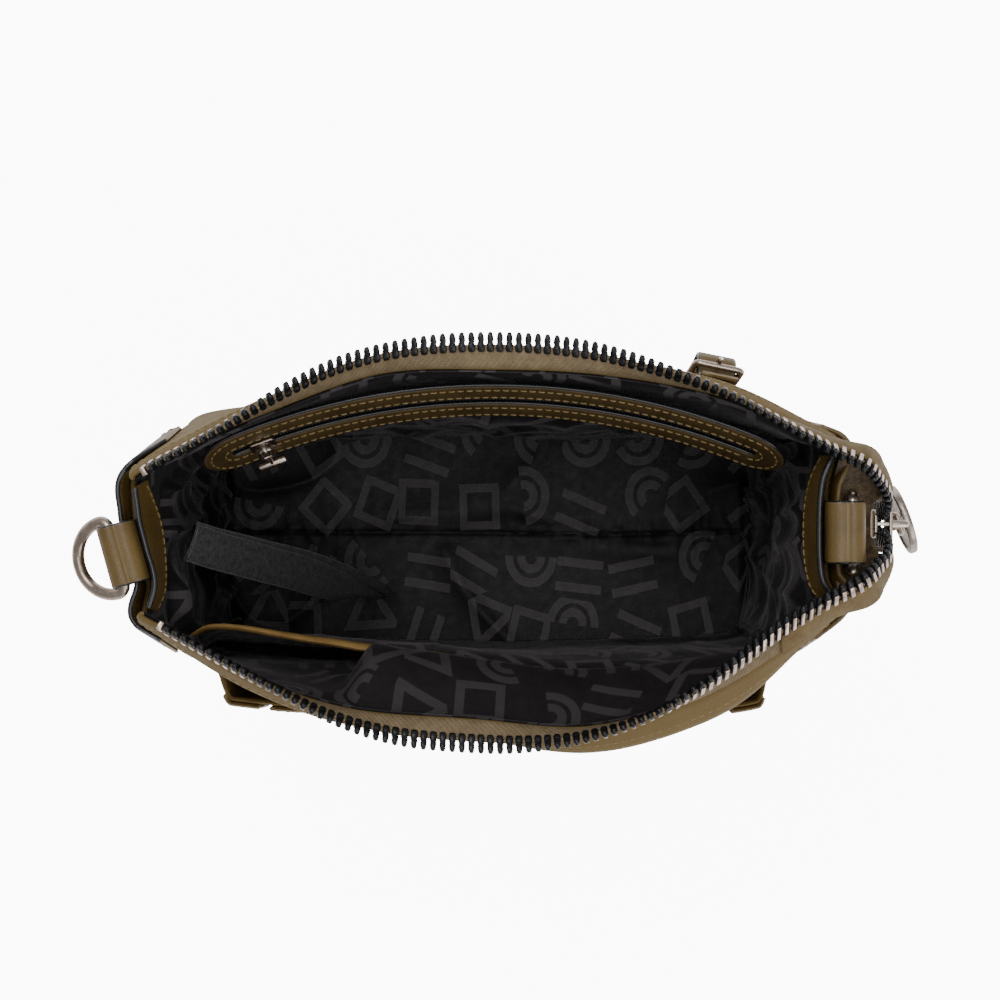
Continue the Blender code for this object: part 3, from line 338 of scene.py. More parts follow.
def sheet_shape(grid, thick, wrap=False):
    """Points, faces and flat coordinates of a closed sheet with rounded edges round a grid of points."""
    grid = np.asarray(grid, float)
    rows, cols = grid.shape[:2]
    if wrap:
        padded = np.concatenate([grid[:, -1:], grid, grid[:, :1]], axis=1)
        normal = normals_of(padded)[:, 1:-1]
    else:
        normal = normals_of(grid)
    thick = np.broadcast_to(np.asarray(thick, float), (rows, cols))[..., None]
    spots = np.concatenate([(grid + way * normal * 0.5 * thick).reshape(-1, 3) for way in (1, -1)])
    size = rows * cols
    spans = cols if wrap else cols - 1
    faces = []
    for r in range(rows - 1):
        for c in range(spans):
            d = (c + 1) % cols
            quad = (r * cols + c, r * cols + d, (r + 1) * cols + d, (r + 1) * cols + c)
            faces.append(quad)
            faces.append(tuple(size + i for i in reversed(quad)))
    across = np.gradient(grid, axis=0)
    along = np.gradient(grid, axis=1)
    extra = []

    def rim(ring, closed):
        """Adds a rounded edge along (row, column, outward) places."""
        start = 2 * size + len(extra)
        for r, c, way in ring:
            way = way / max(np.linalg.norm(way), 1e-9)
            extra.append(grid[r, c] + way * 0.42 * thick[r, c])
        count = len(ring)
        for k in range(count if closed else count - 1):
            m = (k + 1) % count
            a, b = ring[k][0] * cols + ring[k][1], ring[m][0] * cols + ring[m][1]
            faces.append((a, b, start + m, start + k))
            faces.append((start + k, start + m, size + b, size + a))

    if wrap:
        rim([(0, c, -across[0, c]) for c in range(cols)], True)
        rim([(rows - 1, c, across[-1, c]) for c in range(cols)], True)
    else:
        ring = [(0, c, -across[0, c]) for c in range(cols - 1)]
        ring += [(r, cols - 1, along[r, -1]) for r in range(rows - 1)]
        ring += [(rows - 1, c, across[-1, c]) for c in range(cols - 1, 0, -1)]
        ring += [(r, 0, -along[r, 0]) for r in range(rows - 1, 0, -1)]
        rim(ring, True)
    u_flat = np.concatenate([[0], np.cumsum(np.linalg.norm(np.diff(grid, axis=1), axis=-1).mean(axis=0))])
    v_flat = np.concatenate([[0], np.cumsum(np.linalg.norm(np.diff(grid, axis=0), axis=-1).mean(axis=1))])
    flat = np.stack(np.meshgrid(u_flat, v_flat), axis=-1).reshape(-1, 2)
    flats = [tuple(f) for f in flat] * 2
    if wrap:
        flats += [flats[c] for c in range(cols)] + [flats[(rows - 1) * cols + c] for c in range(cols)]
    else:
        flats += [flats[r * cols + c] for r, c, way in ring]
    return [tuple(v) for v in spots] + [tuple(v) for v in extra], faces, flats


def cloth(name, grids, thick, finish, nodes=(), body="bag", wrap=False, shift=(0.0, 0.0)):
    """One piece made of closed sheets, each round its own grid of points, with flat coordinates in mm."""
    verts, faces, flats = [], [], []
    for grid in grids if isinstance(grids, list) else [grids]:
        more, joined, flat = sheet_shape(grid, thick, wrap)
        faces += [tuple(i + len(verts) for i in face) for face in joined]
        verts += more
        flats += flat
    mesh = bpy.data.meshes.new(name)
    mesh.from_pydata([Vector(v) * MM for v in verts], [], faces)
    layer = mesh.uv_layers.new(name="cloth")
    for loop in mesh.loops:
        u, v = flats[loop.vertex_index]
        layer.data[loop.index].uv = (u + shift[0], v + shift[1])
    work = bmesh.new()
    work.from_mesh(mesh)
    bmesh.ops.recalc_face_normals(work, faces=work.faces)
    work.to_mesh(mesh)
    work.free()
    shade(mesh, 60)
    mesh.materials.append(finish)
    return finish_piece(name, mesh, nodes, body)


def tube_shape(path, radius, sides=10, closed=False):
    """A round bar along a path; radius may be one number or one per point."""
    path = [Vector(p) for p in path]
    count = len(path)
    radii = radius if hasattr(radius, "__len__") else [radius] * count
    verts, faces = [], []
    side = (path[1] - path[0]).orthogonal().normalized()
    for i in range(count):
        ahead = path[(i + 1) % count] if closed or i < count - 1 else path[i]
        behind = path[i - 1] if closed or i > 0 else path[i]
        lead = (ahead - behind).normalized()
        side = (side - lead * side.dot(lead)).normalized()
        up = lead.cross(side)
        for k in range(sides):
            turn = 2 * math.pi * k / sides
            verts.append(path[i] + (side * math.cos(turn) + up * math.sin(turn)) * radii[i])
    for i in range(count if closed else count - 1):
        for k in range(sides):
            j, m = (i + 1) % count, (k + 1) % sides
            faces.append((i * sides + k, i * sides + m, j * sides + m, j * sides + k))
    if not closed:
        faces.append(tuple(range(sides)))
        faces.append(tuple(range((count - 1) * sides, count * sides)))
    return verts, faces


def prism_shape(outline, low, high):
    """An upright prism on a closed outline of (x, y)."""
    count = len(outline)
    verts = [(x, y, z) for z in (low, high) for x, y in outline]
    faces = [tuple(range(count)), tuple(range(count, 2 * count))]
    return verts, faces + [(i, (i + 1) % count, (i + 1) % count + count, i + count) for i in range(count)]


def box_shape(low, high):
    (x0, y0, z0), (x1, y1, z1) = low, high
    return prism_shape([(x0, y0), (x1, y0), (x1, y1), (x0, y1)], z0, z1)


def place(shape, matrix):
    return [matrix @ Vector(v) for v in shape[0]], shape[1]


def upright(shape):
    """Stands a prism drawn in plan in the YZ plane, its height along X."""
    return place(shape, Matrix(((0, 0, 1, 0), (1, 0, 0, 0), (0, 1, 0, 0), (0, 0, 0, 1))))


def joined(shapes):
    """Several shapes as one list of points and faces."""
    verts, faces = [], []
    for more, own in shapes:
        faces += [tuple(i + len(verts) for i in face) for face in own]
        verts += list(more)
    return verts, faces


def stitch_shapes(path, normals, pitch=3.0, long=2.2, radius=0.26, lift=0.12):
    """Thread stitches along a line of points that lies on a surface with the given normals."""
    path, normals = np.asarray(path, float), np.asarray(normals, float)
    reach = np.concatenate([[0], np.cumsum(np.linalg.norm(np.diff(path, axis=0), axis=1))])
    shapes = []
    for k in range(int((reach[-1] - long) / pitch) + 1):
        spots = []
        for part, rise in ((0.0, -0.45), (0.12, 0.02), (0.5, lift), (0.88, 0.02), (1.0, -0.45)):
            at = 0.4 + k * pitch + part * long
            spot = [np.interp(at, reach, path[:, i]) for i in range(3)]
            way = Vector([np.interp(at, reach, normals[:, i]) for i in range(3)]).normalized()
            spots.append(Vector(spot) + way * rise)
        shapes.append(tube_shape(spots, radius, 6))
    return shapes


def stitches(name, lines, **size):
    """One piece of thread for several stitch lines, each (points, normals)."""
    shapes = [s for path, normals in lines for s in stitch_shapes(path, normals, **size)]
    solid(name, [(joined(shapes), THREAD, 0)], sharp=80)


# ------------------------------------------------------------------ the body's shape
RIM_Z, SHOULDER_Z, FLARE_START_Z = 165.0, 156.0, 96.0
BELLY, FOOT_ROUND = 3.0, 5.0
NYLON_THICK, LINING_THICK = 1.5, 0.8
LINING_INSET, BACK_LINING_INSET = 2.2, 5.6
SIDE_TOP_Z, PATCH_TOP_Z, PATCH_LOW_Z = 150.0, 156.0, 126.0
PATCH_LIFT, INNER_PATCH_LIFT = 1.4, -4.2  # the end patches' middles, out from the wall
FRONT, RIGHT, BACK, LEFT, ROUND = 0, 8, 12, 20, 24
FOOT = [
    (-97, -33.5), (-91, -38.5), (-68, -41), (-35, -42), (0, -42.5), (35, -42), (68, -41), (91, -38.5),
    (97, -33.5), (100, -20), (101, 0), (100, 20),
    (97, 33.5), (91, 38.5), (68, 41), (35, 42), (0, 42.5), (-35, 42), (-68, 41), (-91, 38.5),
    (-97, 33.5), (-100, 20), (-101, 0), (-100, -20),
]
SHOULDER = [
    (-107.5, -23.5), (-97, -31.5), (-72, -46.5), (-42, -57), (-4, -60.5), (32, -62.5), (66, -53), (94, -36),
    (112, -19), (108.2, -10), (107.6, 5), (108.4, 17),
    (111.5, 29), (98, 38), (73, 49.5), (38, 56.5), (4, 58.5), (-32, 57), (-66, 45), (-92, 32.5),
    (-110, 21), (-111, 9), (-108.4, -3), (-105.8, -13),
]
STATION = 27.0  # mean length between stations


def curve(points, t, closed=False):
    """A smooth curve through the points, at stations t (an array)."""
    points = np.asarray(points, float)
    count = len(points)
    t = np.asarray(t, float)
    i = np.floor(t).astype(int)
    if not closed:
        i = np.clip(i, 0, count - 2)
    s = (t - i)[..., None]

    def at(k):
        return points[k % count] if closed else points[np.clip(k, 0, count - 1)]

    a, b, c, d = at(i - 1), at(i), at(i + 1), at(i + 2)
    square, cube = 2 * a - 5 * b + 4 * c - d, 3 * b - a - 3 * c + d
    return 0.5 * (2 * b + (c - a) * s + square * s ** 2 + cube * s ** 3)


def smooth(t):
    t = np.clip(t, 0.0, 1.0)
    return t * t * (3 - 2 * t)


def ripple(a, b, seed, count=7):
    """A smooth field of mixed waves, about -1 to 1."""
    draw = np.random.default_rng(seed)
    total = 0.0
    for _ in range(count):
        turn, phase, rate = draw.uniform(0, 6.28), draw.uniform(0, 6.28), draw.uniform(0.6, 1.7)
        total = total + np.sin(rate * (a * np.cos(turn) + b * np.sin(turn)) + phase)
    return total / math.sqrt(count)


def creases(a, b, seed, power=3):
    """Soft ridges like gathered cloth, 0 to 1."""
    warp = 0.9 * ripple(a * 0.5, b * 0.5, seed + 40)
    return np.clip(1 - np.abs(ripple(a + warp, b - warp, seed)), 0, 1) ** power


def at_ends(u):
    """1 over the two short ends and their corners, 0 along the long sides."""
    middle, reach, fade = 0.5 * (RIGHT + BACK), 3.4, 1.2  # in stations
    near_right = smooth((reach - np.abs(u - middle)) / fade)
    near_left = smooth((reach - np.abs((u - middle) % ROUND - 0.5 * ROUND)) / fade)
    return np.maximum(near_right, near_left)


def outline(u, z):
    mix = np.clip((z - FLARE_START_Z) / (SHOULDER_Z - FLARE_START_Z), 0, 1) ** 1.5
    foot, top = curve(FOOT, u, True), curve(SHOULDER, u, True)
    return foot + (top - foot) * mix[..., None]


def outward(u, z):
    along = outline(u + 0.02, z) - outline(u - 0.02, z)
    way = np.stack([along[..., 1], -along[..., 0]], axis=-1)
    return way / np.linalg.norm(way, axis=-1, keepdims=True)


def sag(u, z):
    """Soft folds that the walls share, none at the rim, the foot or the trimmed ends."""
    env = smooth((z - 6) / 25) * smooth((161 - z) / 28) * (1 - at_ends(u) * smooth((z - 104) / 16))
    low = 0.9 * ripple(u * STATION / 34, z / 13, 3) + 0.5 * ripple(u * STATION / 15, z / 6.5, 9)
    return env * low


def swell(u, z):
    """How far the front wall bows out under the zip, towards the slider's end."""
    along = smooth((u - 3.4) / 2.0) * smooth((7.35 - u) / 1.2)
    return 4.2 * along * smooth((z - 106) / 36) * smooth((163.5 - z) / 9)


def wall(u, z, offset=0.0):
    """Points on the body's wall, moved outwards by offset (arrays)."""
    u, z, offset = np.broadcast_arrays(*(np.asarray(part, float) for part in (u, z, offset)))
    u = u % ROUND
    depth = offset + BELLY * np.sin(np.pi * np.minimum(1.0, z / SHOULDER_Z)) + sag(u, z) + swell(u, z)
    tuck = np.clip(FOOT_ROUND - z, 0, FOOT_ROUND)
    depth = depth - (FOOT_ROUND - np.sqrt(FOOT_ROUND ** 2 - tuck ** 2))
    roll = np.full(u.shape, 2.0)
    for first, last in ((FRONT, RIGHT), (BACK, LEFT)):
        part = (u >= first) & (u <= last)
        roll = np.where(part, 2.0 + 3.0 * np.sin(np.pi * (u - first) / (last - first)), roll)
    above = np.clip((z - SHOULDER_Z) / (RIM_Z - SHOULDER_Z), 0, 1)
    depth = depth - roll * (1 - np.cos(0.5 * np.pi * above))
    spot = outline(u, z) + outward(u, z) * depth[..., None]
    return np.concatenate([spot, z[..., None]], axis=-1)


def wall_point(u, z, offset=0.0):
    return Vector(wall(np.array([u]), np.array([z]), np.array([offset]))[0])


def wall_grid(u_range, z_range, cols, rows, offset):
    """A grid on the wall; offset is a number or a function of (u, z)."""
    u, z = np.meshgrid(np.linspace(*u_range, cols), np.linspace(*z_range, rows))
    return wall(u, z, offset(u, z) if callable(offset) else offset)


def wall_line(u, z, offset):
    """A line on the wall with its outward normals, for stitches."""
    u, z = np.broadcast_arrays(np.asarray(u, float), np.asarray(z, float))
    way = outward(u % ROUND, z)
    return wall(u, z, offset), np.concatenate([way, np.zeros(way.shape[:-1] + (1,))], axis=-1)


def seam_dip(u, first, last):
    """Turns a panel's edges in at its seams."""
    near = np.minimum(u - first, last - u)
    return -0.9 * np.exp(-(near / 0.05) ** 2)


def nylon_body():
    for node, name, first, last, top in (
        ("front_panel", "nylon_front", FRONT, RIGHT, RIM_Z),
        ("right_side_panel", "nylon_right", RIGHT, BACK, SIDE_TOP_Z),
        ("back_panel", "nylon_back", BACK, LEFT, RIM_Z),
        ("left_side_panel", "nylon_left", LEFT, ROUND, SIDE_TOP_Z),
    ):
        def outer(u, z):
            fold = creases(u * STATION / 20, z / 26, 91) * smooth((z - 12) / 14) * smooth((120 - z) / 14)
            return -0.5 * NYLON_THICK + seam_dip(u, first, last) - 0.65 * fold

        cols = 121 if last - first > 4 else 49
        grid = wall_grid((first + 0.01, last - 0.01), (0.4, top), cols, 67, outer)
        cloth(name, grid, NYLON_THICK, NYLON, [node])
    lines = []
    for first, last in ((FRONT + 0.12, RIGHT - 0.12), (BACK + 0.12, LEFT - 0.12)):
        lines.append(wall_line(np.linspace(first, last, 200), 159.5, 0.05))
    stitches("rim_stitching", lines, pitch=2.8, long=2.0, radius=0.2, lift=0.06)


def foot_map(cols, rows, inset):
    """A grid that fills the foot's outline, columns along X and rows along Y."""
    ring = wall(np.linspace(0, ROUND, 480, endpoint=False), 4.0, -inset)[:, :2]
    front = ring[ring[:, 1] < 0]
    reach = ring[:, 0].max() - 0.05
    s = np.sin(np.linspace(-0.5 * np.pi, 0.5 * np.pi, cols)) * reach
    order = np.argsort(front[:, 0])
    depth = -np.interp(s, front[order, 0], front[order, 1])
    y = np.linspace(-1, 1, rows)[:, None] * depth[None, :]
    return np.broadcast_to(s, y.shape), y


def floor_pieces():
    x, y = foot_map(61, 25, 2.3)
    cloth("nylon_base", np.stack([x, y, np.full(x.shape, 0.75)], -1), 1.5, NYLON, ["base_panel"])
    ring = wall(np.linspace(0, ROUND, 200, endpoint=False), 0.0, -0.6)
    ring[:, 2] = 1.05
    piping = (tube_shape(ring, 1.0, 8, True), LEATHER, 0)
    solid("base_piping", [piping], sharp=80)
    x, y = foot_map(221, 121, LINING_INSET + 0.2)
    near = np.abs(y)
    wander = y - 0.9 * ripple(x / 16, 0 * x, 27)
    pucker = creases(x / 2.6, y / 9, 21, 2) * np.exp(-np.abs(wander) / 4)
    seam = 1.5 * pucker - 0.9 * np.exp(-(wander / 0.8) ** 2)
    broad = 2.2 * smooth(near / 9) * creases(x / 19, y / 15, 23, 3) + 0.8 * ripple(x / 24, y / 18, 25)
    edge = smooth((1 - np.abs(x) / 98) / 0.05)
    clear = 1 - 0.8 * smooth((26 - np.hypot(x + 42, y + 22)) / 14)
    z = 5.3 + edge * clear * (seam + broad)
    laid = cloth("lining_floor", np.stack([x, y, z], -1), 0.6, LINING, ["lining_base"])


def lining_face(u, z):
    """The lining's stand-in from the wall, with its puckers."""
    hang = smooth((RIM_Z - z) / 14.0)
    back = (u >= BACK) & (u <= LEFT)
    middle = np.sin(np.pi * (u - BACK) / (LEFT - BACK))
    inset = LINING_INSET + (BACK_LINING_INSET - LINING_INSET) * back * hang * smooth(3 * middle)
    ends = at_ends(u)
    a = u * STATION
    free = smooth((z - 3) / 10) * smooth((162 - z) / 8)
    trimmed = 1 - ends * smooth((z - 124) / 8)
    pocket = 1 - 0.93 * back * smooth((z - 108) / 14) * smooth(2.2 * middle)
    slip = 1 - 0.6 * ((u > 0.8) & (u < 7.2)) * (z < 124)
    upright_folds = creases(a / 11, z / 38, 31) * (2.0 + np.where(np.abs(u - 10) < 3.6, 1.8, 3.4) * ends)
    slack = 1.5 * creases(a / 24, z / 15, 37, 2) + 0.5 * ripple(a / 8, z / 6, 39)
    drape = inset + free * trimmed * pocket * slip * np.maximum(upright_folds + slack, -0.4)
    brow = (slip_offset(u) + 3.8) * smooth((u - 2.7) / 0.35) * smooth((7.2 - u) / 0.8)
    brow = brow * smooth((z - 124.2) / 2.5) * smooth((163 - z) / 32) * ((u > 2.5) & (u < 7.3))
    return -np.maximum(drape, brow) - swell(u, z)


def lining():
    for node, name, first, last, top, cut, wall_node in (
        ("lining_front", "lining_front_cloth", FRONT, RIGHT, RIM_Z - 0.8, (0.215, 0.165), "front_panel"),
        ("lining_right", "lining_right_cloth", RIGHT, BACK, SIDE_TOP_Z, (0.068, 0.152), "right_side_panel"),
        ("lining_back", "lining_back_cloth", BACK, LEFT, RIM_Z - 0.8, (0.215, 0.165), "back_panel"),
        ("lining_left", "lining_left_cloth", LEFT, ROUND, SIDE_TOP_Z, (0.068, 0.152), "left_side_panel"),
    ):
        cols = 241 if last - first > 4 else 101
        grid = wall_grid((first, last), (3.6, top), cols, 111, lambda u, z: lining_face(u, z) - 0.3)
        # The front wall's lining takes the darker copy of the lining: painted shade.
        finish = SHADED_FRONT_LINING if node == "lining_front" else LINING
        hung = cloth(name, grid, 0.5, finish, [node], shift=(first * 31.0, 0.0))


# ------------------------------------------------------------------ main zip
PITCH, TOOTH_LONG, TAPE_WIDE, ZIP_LIFT = 2.9, 4.6, 6.5, 0.9
REACH = TAPE_WIDE + TOOTH_LONG
TAIL_X, TAIL_Y, MOUTH_Z, STOP_Z, TAPE_END_Z = 125.2, 5.0, 144.5, 127.0, 117.0
SPREAD, MESH = 1.1, -1.1
BACK_TIPS = [
    (-103, 20.4), (-80, 33.2), (-60, 47.2), (-42, 56.3), (-20, 61.7), (0, 63.6), (20, 62.6), (38, 59),
    (55, 52.8), (72, 45.2), (90, 34.6), (105, 26.2),
]
FRONT_TIPS = [
    (-98, -24.6), (-80, -34.2), (-62, -44.6), (-45, -54.6), (-25, -61.6), (0, -64),
    (18, -62.6), (35, -58.5), (52, -51.2), (70, -38.8), (88, -24.8), (104, -15.2),
]
BACK_TAIL = [
    ((117.5, 27.2, 163.5), (114.2, 21.6, 172.5)),
    ((122.0, 21.8, 157.5), (120.0, 16.6, 166.5)),
    ((124.6, 16.6, 153.5), (123.8, 12.2, 160.5)),
    ((125.4, 14.0, 149.0), (125.3, 8.0, 152.6)),
]
FRONT_TAIL = [
    ((117.8, -17.8, 163.5), (114.0, -9.6, 170.5)),
    ((122.0, -12.6, 157.5), (119.8, -5.4, 165.0)),
    ((124.8, -7.2, 153.5), (123.8, -2.2, 160.0)),
    ((125.5, -4.0, 149.0), (125.3, 2.0, 152.6)),
]


def rim_line(first, last):
    """The rim's middle line on one long side, as x and y arrays in order of x."""
    spots = wall(np.linspace(first, last, 400), RIM_Z, -0.5 * NYLON_THICK)
    order = np.argsort(spots[:, 0])
    return spots[order, 0], spots[order, 1]


def zip_row(first, last, tips, tail, sign):
    """Dense arrays of edge and tip points of one zip half, from the tape's end to the closed end."""
    count = 44
    rim_x, rim_y = rim_line(first, last)
    flat = curve(tips, np.linspace(0, len(tips) - 1, count))
    edge_y = np.interp(flat[:, 0], rim_x, rim_y)
    edges = [Vector((x, y, RIM_Z + ZIP_LIFT)) for x, y in zip(flat[:, 0], edge_y)]
    points = []
    for edge, (x, y) in zip(edges, flat):
        across = y - edge.y
        points.append(Vector((x, y, edge.z + math.sqrt(REACH ** 2 - across ** 2))))
    edges += [Vector(edge) for edge, tip in tail]
    points += [Vector(tip) for edge, tip in tail]
    half = sign * (SPREAD + REACH - 4.4)
    levels = (MOUTH_Z, MOUTH_Z - 4, 136.5, 131.5, 128, 122, TAPE_END_Z)
    for z, spread in zip(levels, (SPREAD,) * 3 + (MESH,) * 4):
        edges.append(Vector((TAIL_X, TAIL_Y + half, z)))
        points.append(Vector((TAIL_X, TAIL_Y + sign * spread, z)))
    t = np.linspace(len(edges) - 1, 0, (len(edges) - 1) * 6 + 1)
    edge, tip = curve(edges, t), curve(points, t)
    bead = tip - TOOTH_LONG * (tip - edge) / np.linalg.norm(tip - edge, axis=1, keepdims=True)
    reach = np.concatenate([[0], np.cumsum(np.linalg.norm(np.diff(bead, axis=0), axis=1))])
    return reach, edge, bead, tip


def row_at(row, length):
    """Edge, bead, tip, across, along and thickness direction at a length along a row."""
    reach = row[0]
    spots = [Vector([np.interp(length, reach, line[:, i]) for i in range(3)]) for line in row[1:]]
    ahead = Vector([np.interp(length + 0.8, reach, row[2][:, i]) for i in range(3)])
    behind = Vector([np.interp(length - 0.8, reach, row[2][:, i]) for i in range(3)])
    along = (ahead - behind).normalized()
    across = (spots[2] - spots[0]).normalized()
    thick = along.cross(across).normalized()
    return *spots, across, thick.cross(along).cross(thick).normalized(), thick


TOOTH = [  # (across, half length, half thickness)
    (-1.45, 0.60, 1.05), (-1.2, 0.94, 1.36), (-0.4, 1.08, 1.44), (0.6, 1.08, 1.44), (1.0, 0.90, 1.28),
    (1.5, 0.80, 1.10), (2.4, 0.98, 1.18), (3.3, 0.86, 1.12), (4.1, 0.64, 0.90), (4.5, 0.34, 0.5),
]


def tooth_shape(first, last):
    """Part of one tooth's lofted shell in its own frame: X across, Y along the row, Z thickness."""
    verts, faces = [], []
    rings = TOOTH[first:last]
    for x, half, tall in rings:
        cut = 0.35 * half
        for y, z in ((half, tall - cut), (half - cut, tall), (cut - half, tall), (-half, tall - cut)):
            verts.append((x, y, z))
        for y, z in ((-half, cut - tall), (cut - half, -tall), (half - cut, -tall), (half, cut - tall)):
            verts.append((x, y, z))
    for i in range(len(rings) - 1):
        for k in range(8):
            m = (k + 1) % 8
            faces.append((8 * i + k, 8 * i + m, 8 * i + m + 8, 8 * i + k + 8))
    faces.append(tuple(range(8)))
    faces.append(tuple(range(8 * len(rings) - 8, 8 * len(rings))))
    return verts, faces


def teeth(side, row, shift):
    reach, _, bead, _ = row
    start = reach[np.argmax(bead[:, 2] > STOP_Z + 0.8)] + shift
    count = int((reach[-1] - start - 3.4) / PITCH) + 1
    clamp, head = tooth_shape(0, 5), tooth_shape(4, 10)
    plate = box_shape((-1.4, -0.72, 1.2), (2.5, 0.72, 1.6))
    clamps, heads, plates = [], [], []
    middle = row_at(row, 0.55 * reach[-1])[5]
    flip = -1 if middle.z > 0 else 1
    for k in range(count):
        _, bead, _, across, along, thick = row_at(row, start + PITCH * k + 0.62)
        turn = Matrix((across, along * flip, thick * flip)).transposed().to_4x4()
        spot = Matrix.Translation(bead) @ turn
        clamps.append(place(clamp, spot))
        heads.append(place(head, spot))
        plates.append(place(plate, spot))
    parts = [(joined(clamps), TOOTH_DARK, 0), (joined(heads), TOOTH_DARK, 0)]
    parts.append((joined(plates), TOOTH_BRIGHT, 0.18))
    solid(f"zip_teeth_{side}_metal", parts, [f"zip_teeth_{side}"], sharp=50)


def tape(side, row, sign):
    """The woven tape, from inside the wall's rim over the edge to the bead."""
    edge, bead = row[1][::2], row[2][::2]
    across = (bead - edge) / np.linalg.norm(bead - edge, axis=1, keepdims=True)
    along = np.gradient(bead, axis=0)
    normal = np.cross(along, across)
    normal /= np.linalg.norm(normal, axis=1, keepdims=True)
    sewn = smooth((112.5 - edge[:, 0]) / 3)[:, None]
    down = np.array([0.0, 0.0, -1.0])
    foot = edge + down * 5.5 * sewn - across * (1 - sewn)
    low = edge + down * 1.2 * sewn - across * 0.5 * (1 - sewn)
    rows = [foot, low]
    for part in (0.06, 0.3, 0.55, 0.8, 1.0):
        rise = 0.35 * math.sin(math.pi * part)
        rows.append(edge + (bead - across * 0.2 - edge) * part + normal * rise * -sign)
    cloth(f"zip_tape_{side}_twill", np.stack(rows), 0.7, TAPE, [f"zip_tape_{side}"])
    cord = tube_shape(bead[1:-1], 0.62, 8)
    solid(f"zip_cord_{side}", [(cord, TAPE, 0)], sharp=80)


def wing(side, row, sign):
    """Pebbled leather outside the tape towards the slider, and its suede lining."""
    edge, bead = row[1], row[2]
    pick = (bead[:, 2] > MOUTH_Z + 2.5) & (bead[:, 0] > 90)
    edge, bead = edge[pick], bead[pick]
    across = (edge - bead) / np.linalg.norm(edge - bead, axis=1, keepdims=True)
    normal = np.cross(np.gradient(bead, axis=0), across)
    normal /= np.linalg.norm(normal, axis=1, keepdims=True)
    normal *= sign if side == "back" else -sign
    normal = -normal if normal[len(normal) // 2] @ np.array([1.0, sign * 1.0, 0.4]) < 0 else normal
    free = smooth((bead[:, 0] - 108.5) / 6)[:, None]
    fade = smooth((bead[:, 0] - 90) / 8)[:, None]
    wavy = 0.5 * np.sin(np.linspace(0, 9, len(edge)))[:, None]
    rows = []
    for part in np.linspace(0, 1, 7):
        far = edge + across * (1.7 * free + 0.15)
        spot = bead + across * 1.15 + (far - bead - across * 1.15) * part
        lift = 0.35 + 0.5 * fade + 0.35 * math.sin(math.pi * part) + wavy * part * free
        rows.append(spot + normal * lift)
    cloth(f"zip_wing_{side}_leather", np.stack(rows), 1.1, WING, [f"zip_wing_{side}"])
    tail = edge[:, 0] > 112.5
    grid = np.stack(rows)[:, tail]
    inner = grid - normal[tail][None] * 1.9
    cloth(f"zip_wing_{side}_suede", inner, 0.5, SUEDE)


def tail_gusset():
    """The suede that closes the gap under the zip's overhanging end."""
    t = np.linspace(-1, 1, 41)[:, None]
    s = np.linspace(0, 1, 15)[None, :]
    y = 4.6 + 20.2 * t + 0 * s
    right = 121.2 + 3.2 * smooth((np.abs(t) - 0.3) / 0.2) - 3.4 * np.abs(t) ** 6
    left = 108.9 + 0.6 * np.abs(t) ** 2
    x = left + (right - left) * s
    z = 141.0 + 17.0 * np.abs(t) ** 2.2 + 1.5 * s + 0.5 * ripple(x / 3, y / 3, 81)
    cloth("zip_tail_suede", np.stack([x, y, z], -1), 0.8, SUEDE)


def top_stop(side, row):
    _, bead, _, across, along, thick = row_at(row, row[0][-1] - 0.9)
    turn = Matrix.Translation(bead + across * 0.6) @ Matrix((across, along, thick)).transposed().to_4x4()
    shape = place(box_shape((-1.6, -0.8, -1.4), (3.0, 0.8, 1.4)), turn)
    solid(f"zip_top_stop_{side}_clamp", [(shape, TOOTH_BRIGHT, 0.35)], [f"zip_top_stop_{side}"])


def main_zip():
    for side, first, last, tips, tail, sign, shift in (
        ("back", BACK, LEFT, BACK_TIPS, BACK_TAIL, 1, 0.0),
        ("front", FRONT, RIGHT, FRONT_TIPS, FRONT_TAIL, -1, 0.5 * PITCH),
    ):
        row = zip_row(first, last, tips, tail, sign)
        tape(side, row, sign)
        teeth(side, row, shift)
        wing(side, row, sign)
        top_stop(side, row)
    tail_gusset()
    low = Vector((TAIL_X - 1.7, TAIL_Y - 2.9, STOP_Z - 4.5))
    high = Vector((TAIL_X + 1.7, TAIL_Y + 2.9, STOP_Z))
    solid("zip_bottom_clamp", [(box_shape(low, high), NICKEL, 0.5)], ["zip_bottom_stop"])


def end_tab():
    """The folded leather tab round the tape's raw end, with a stitched border."""
    half, low, high = 9.5, TAPE_END_Z - 6.0, STOP_Z - 5.5
    turns = [math.pi * (1 + i / 24) for i in range(25)]
    arc = [(half * math.cos(turn), low + half + half * math.sin(turn)) for turn in turns]
    shape = [(-half, high)] + arc + [(half, high)]
    parts = []
    for x in (-2.0, 0.75):
        leaf = upright(prism_shape([(y, z) for y, z in shape], x, x + 1.25))
        parts.append((place(leaf, Matrix.Translation((TAIL_X, TAIL_Y, 0))), LEATHER, 0.4))
    shape = [(0.93 * y, low + half + 0.93 * (z - low - half)) for y, z in arc]
    core = upright(prism_shape(shape, -0.9, 0.9))
    parts.append((place(core, Matrix.Translation((TAIL_X, TAIL_Y, -0.3))), EDGE_PAINT, 0))
    solid("zip_end_leather", parts, ["zip_end_tab"])
    lines = []
    for x, way in ((2.0, 1.0), (-2.0, -1.0)):
        line = [(TAIL_X + x, TAIL_Y + 0.8 * y, low + half + 0.8 * (z - low - half)) for y, z in arc]
        lines.append((line, [(way, 0, 0)] * len(line)))
    stitches("zip_end_stitching", lines, pitch=2.6, long=1.9, radius=0.22)


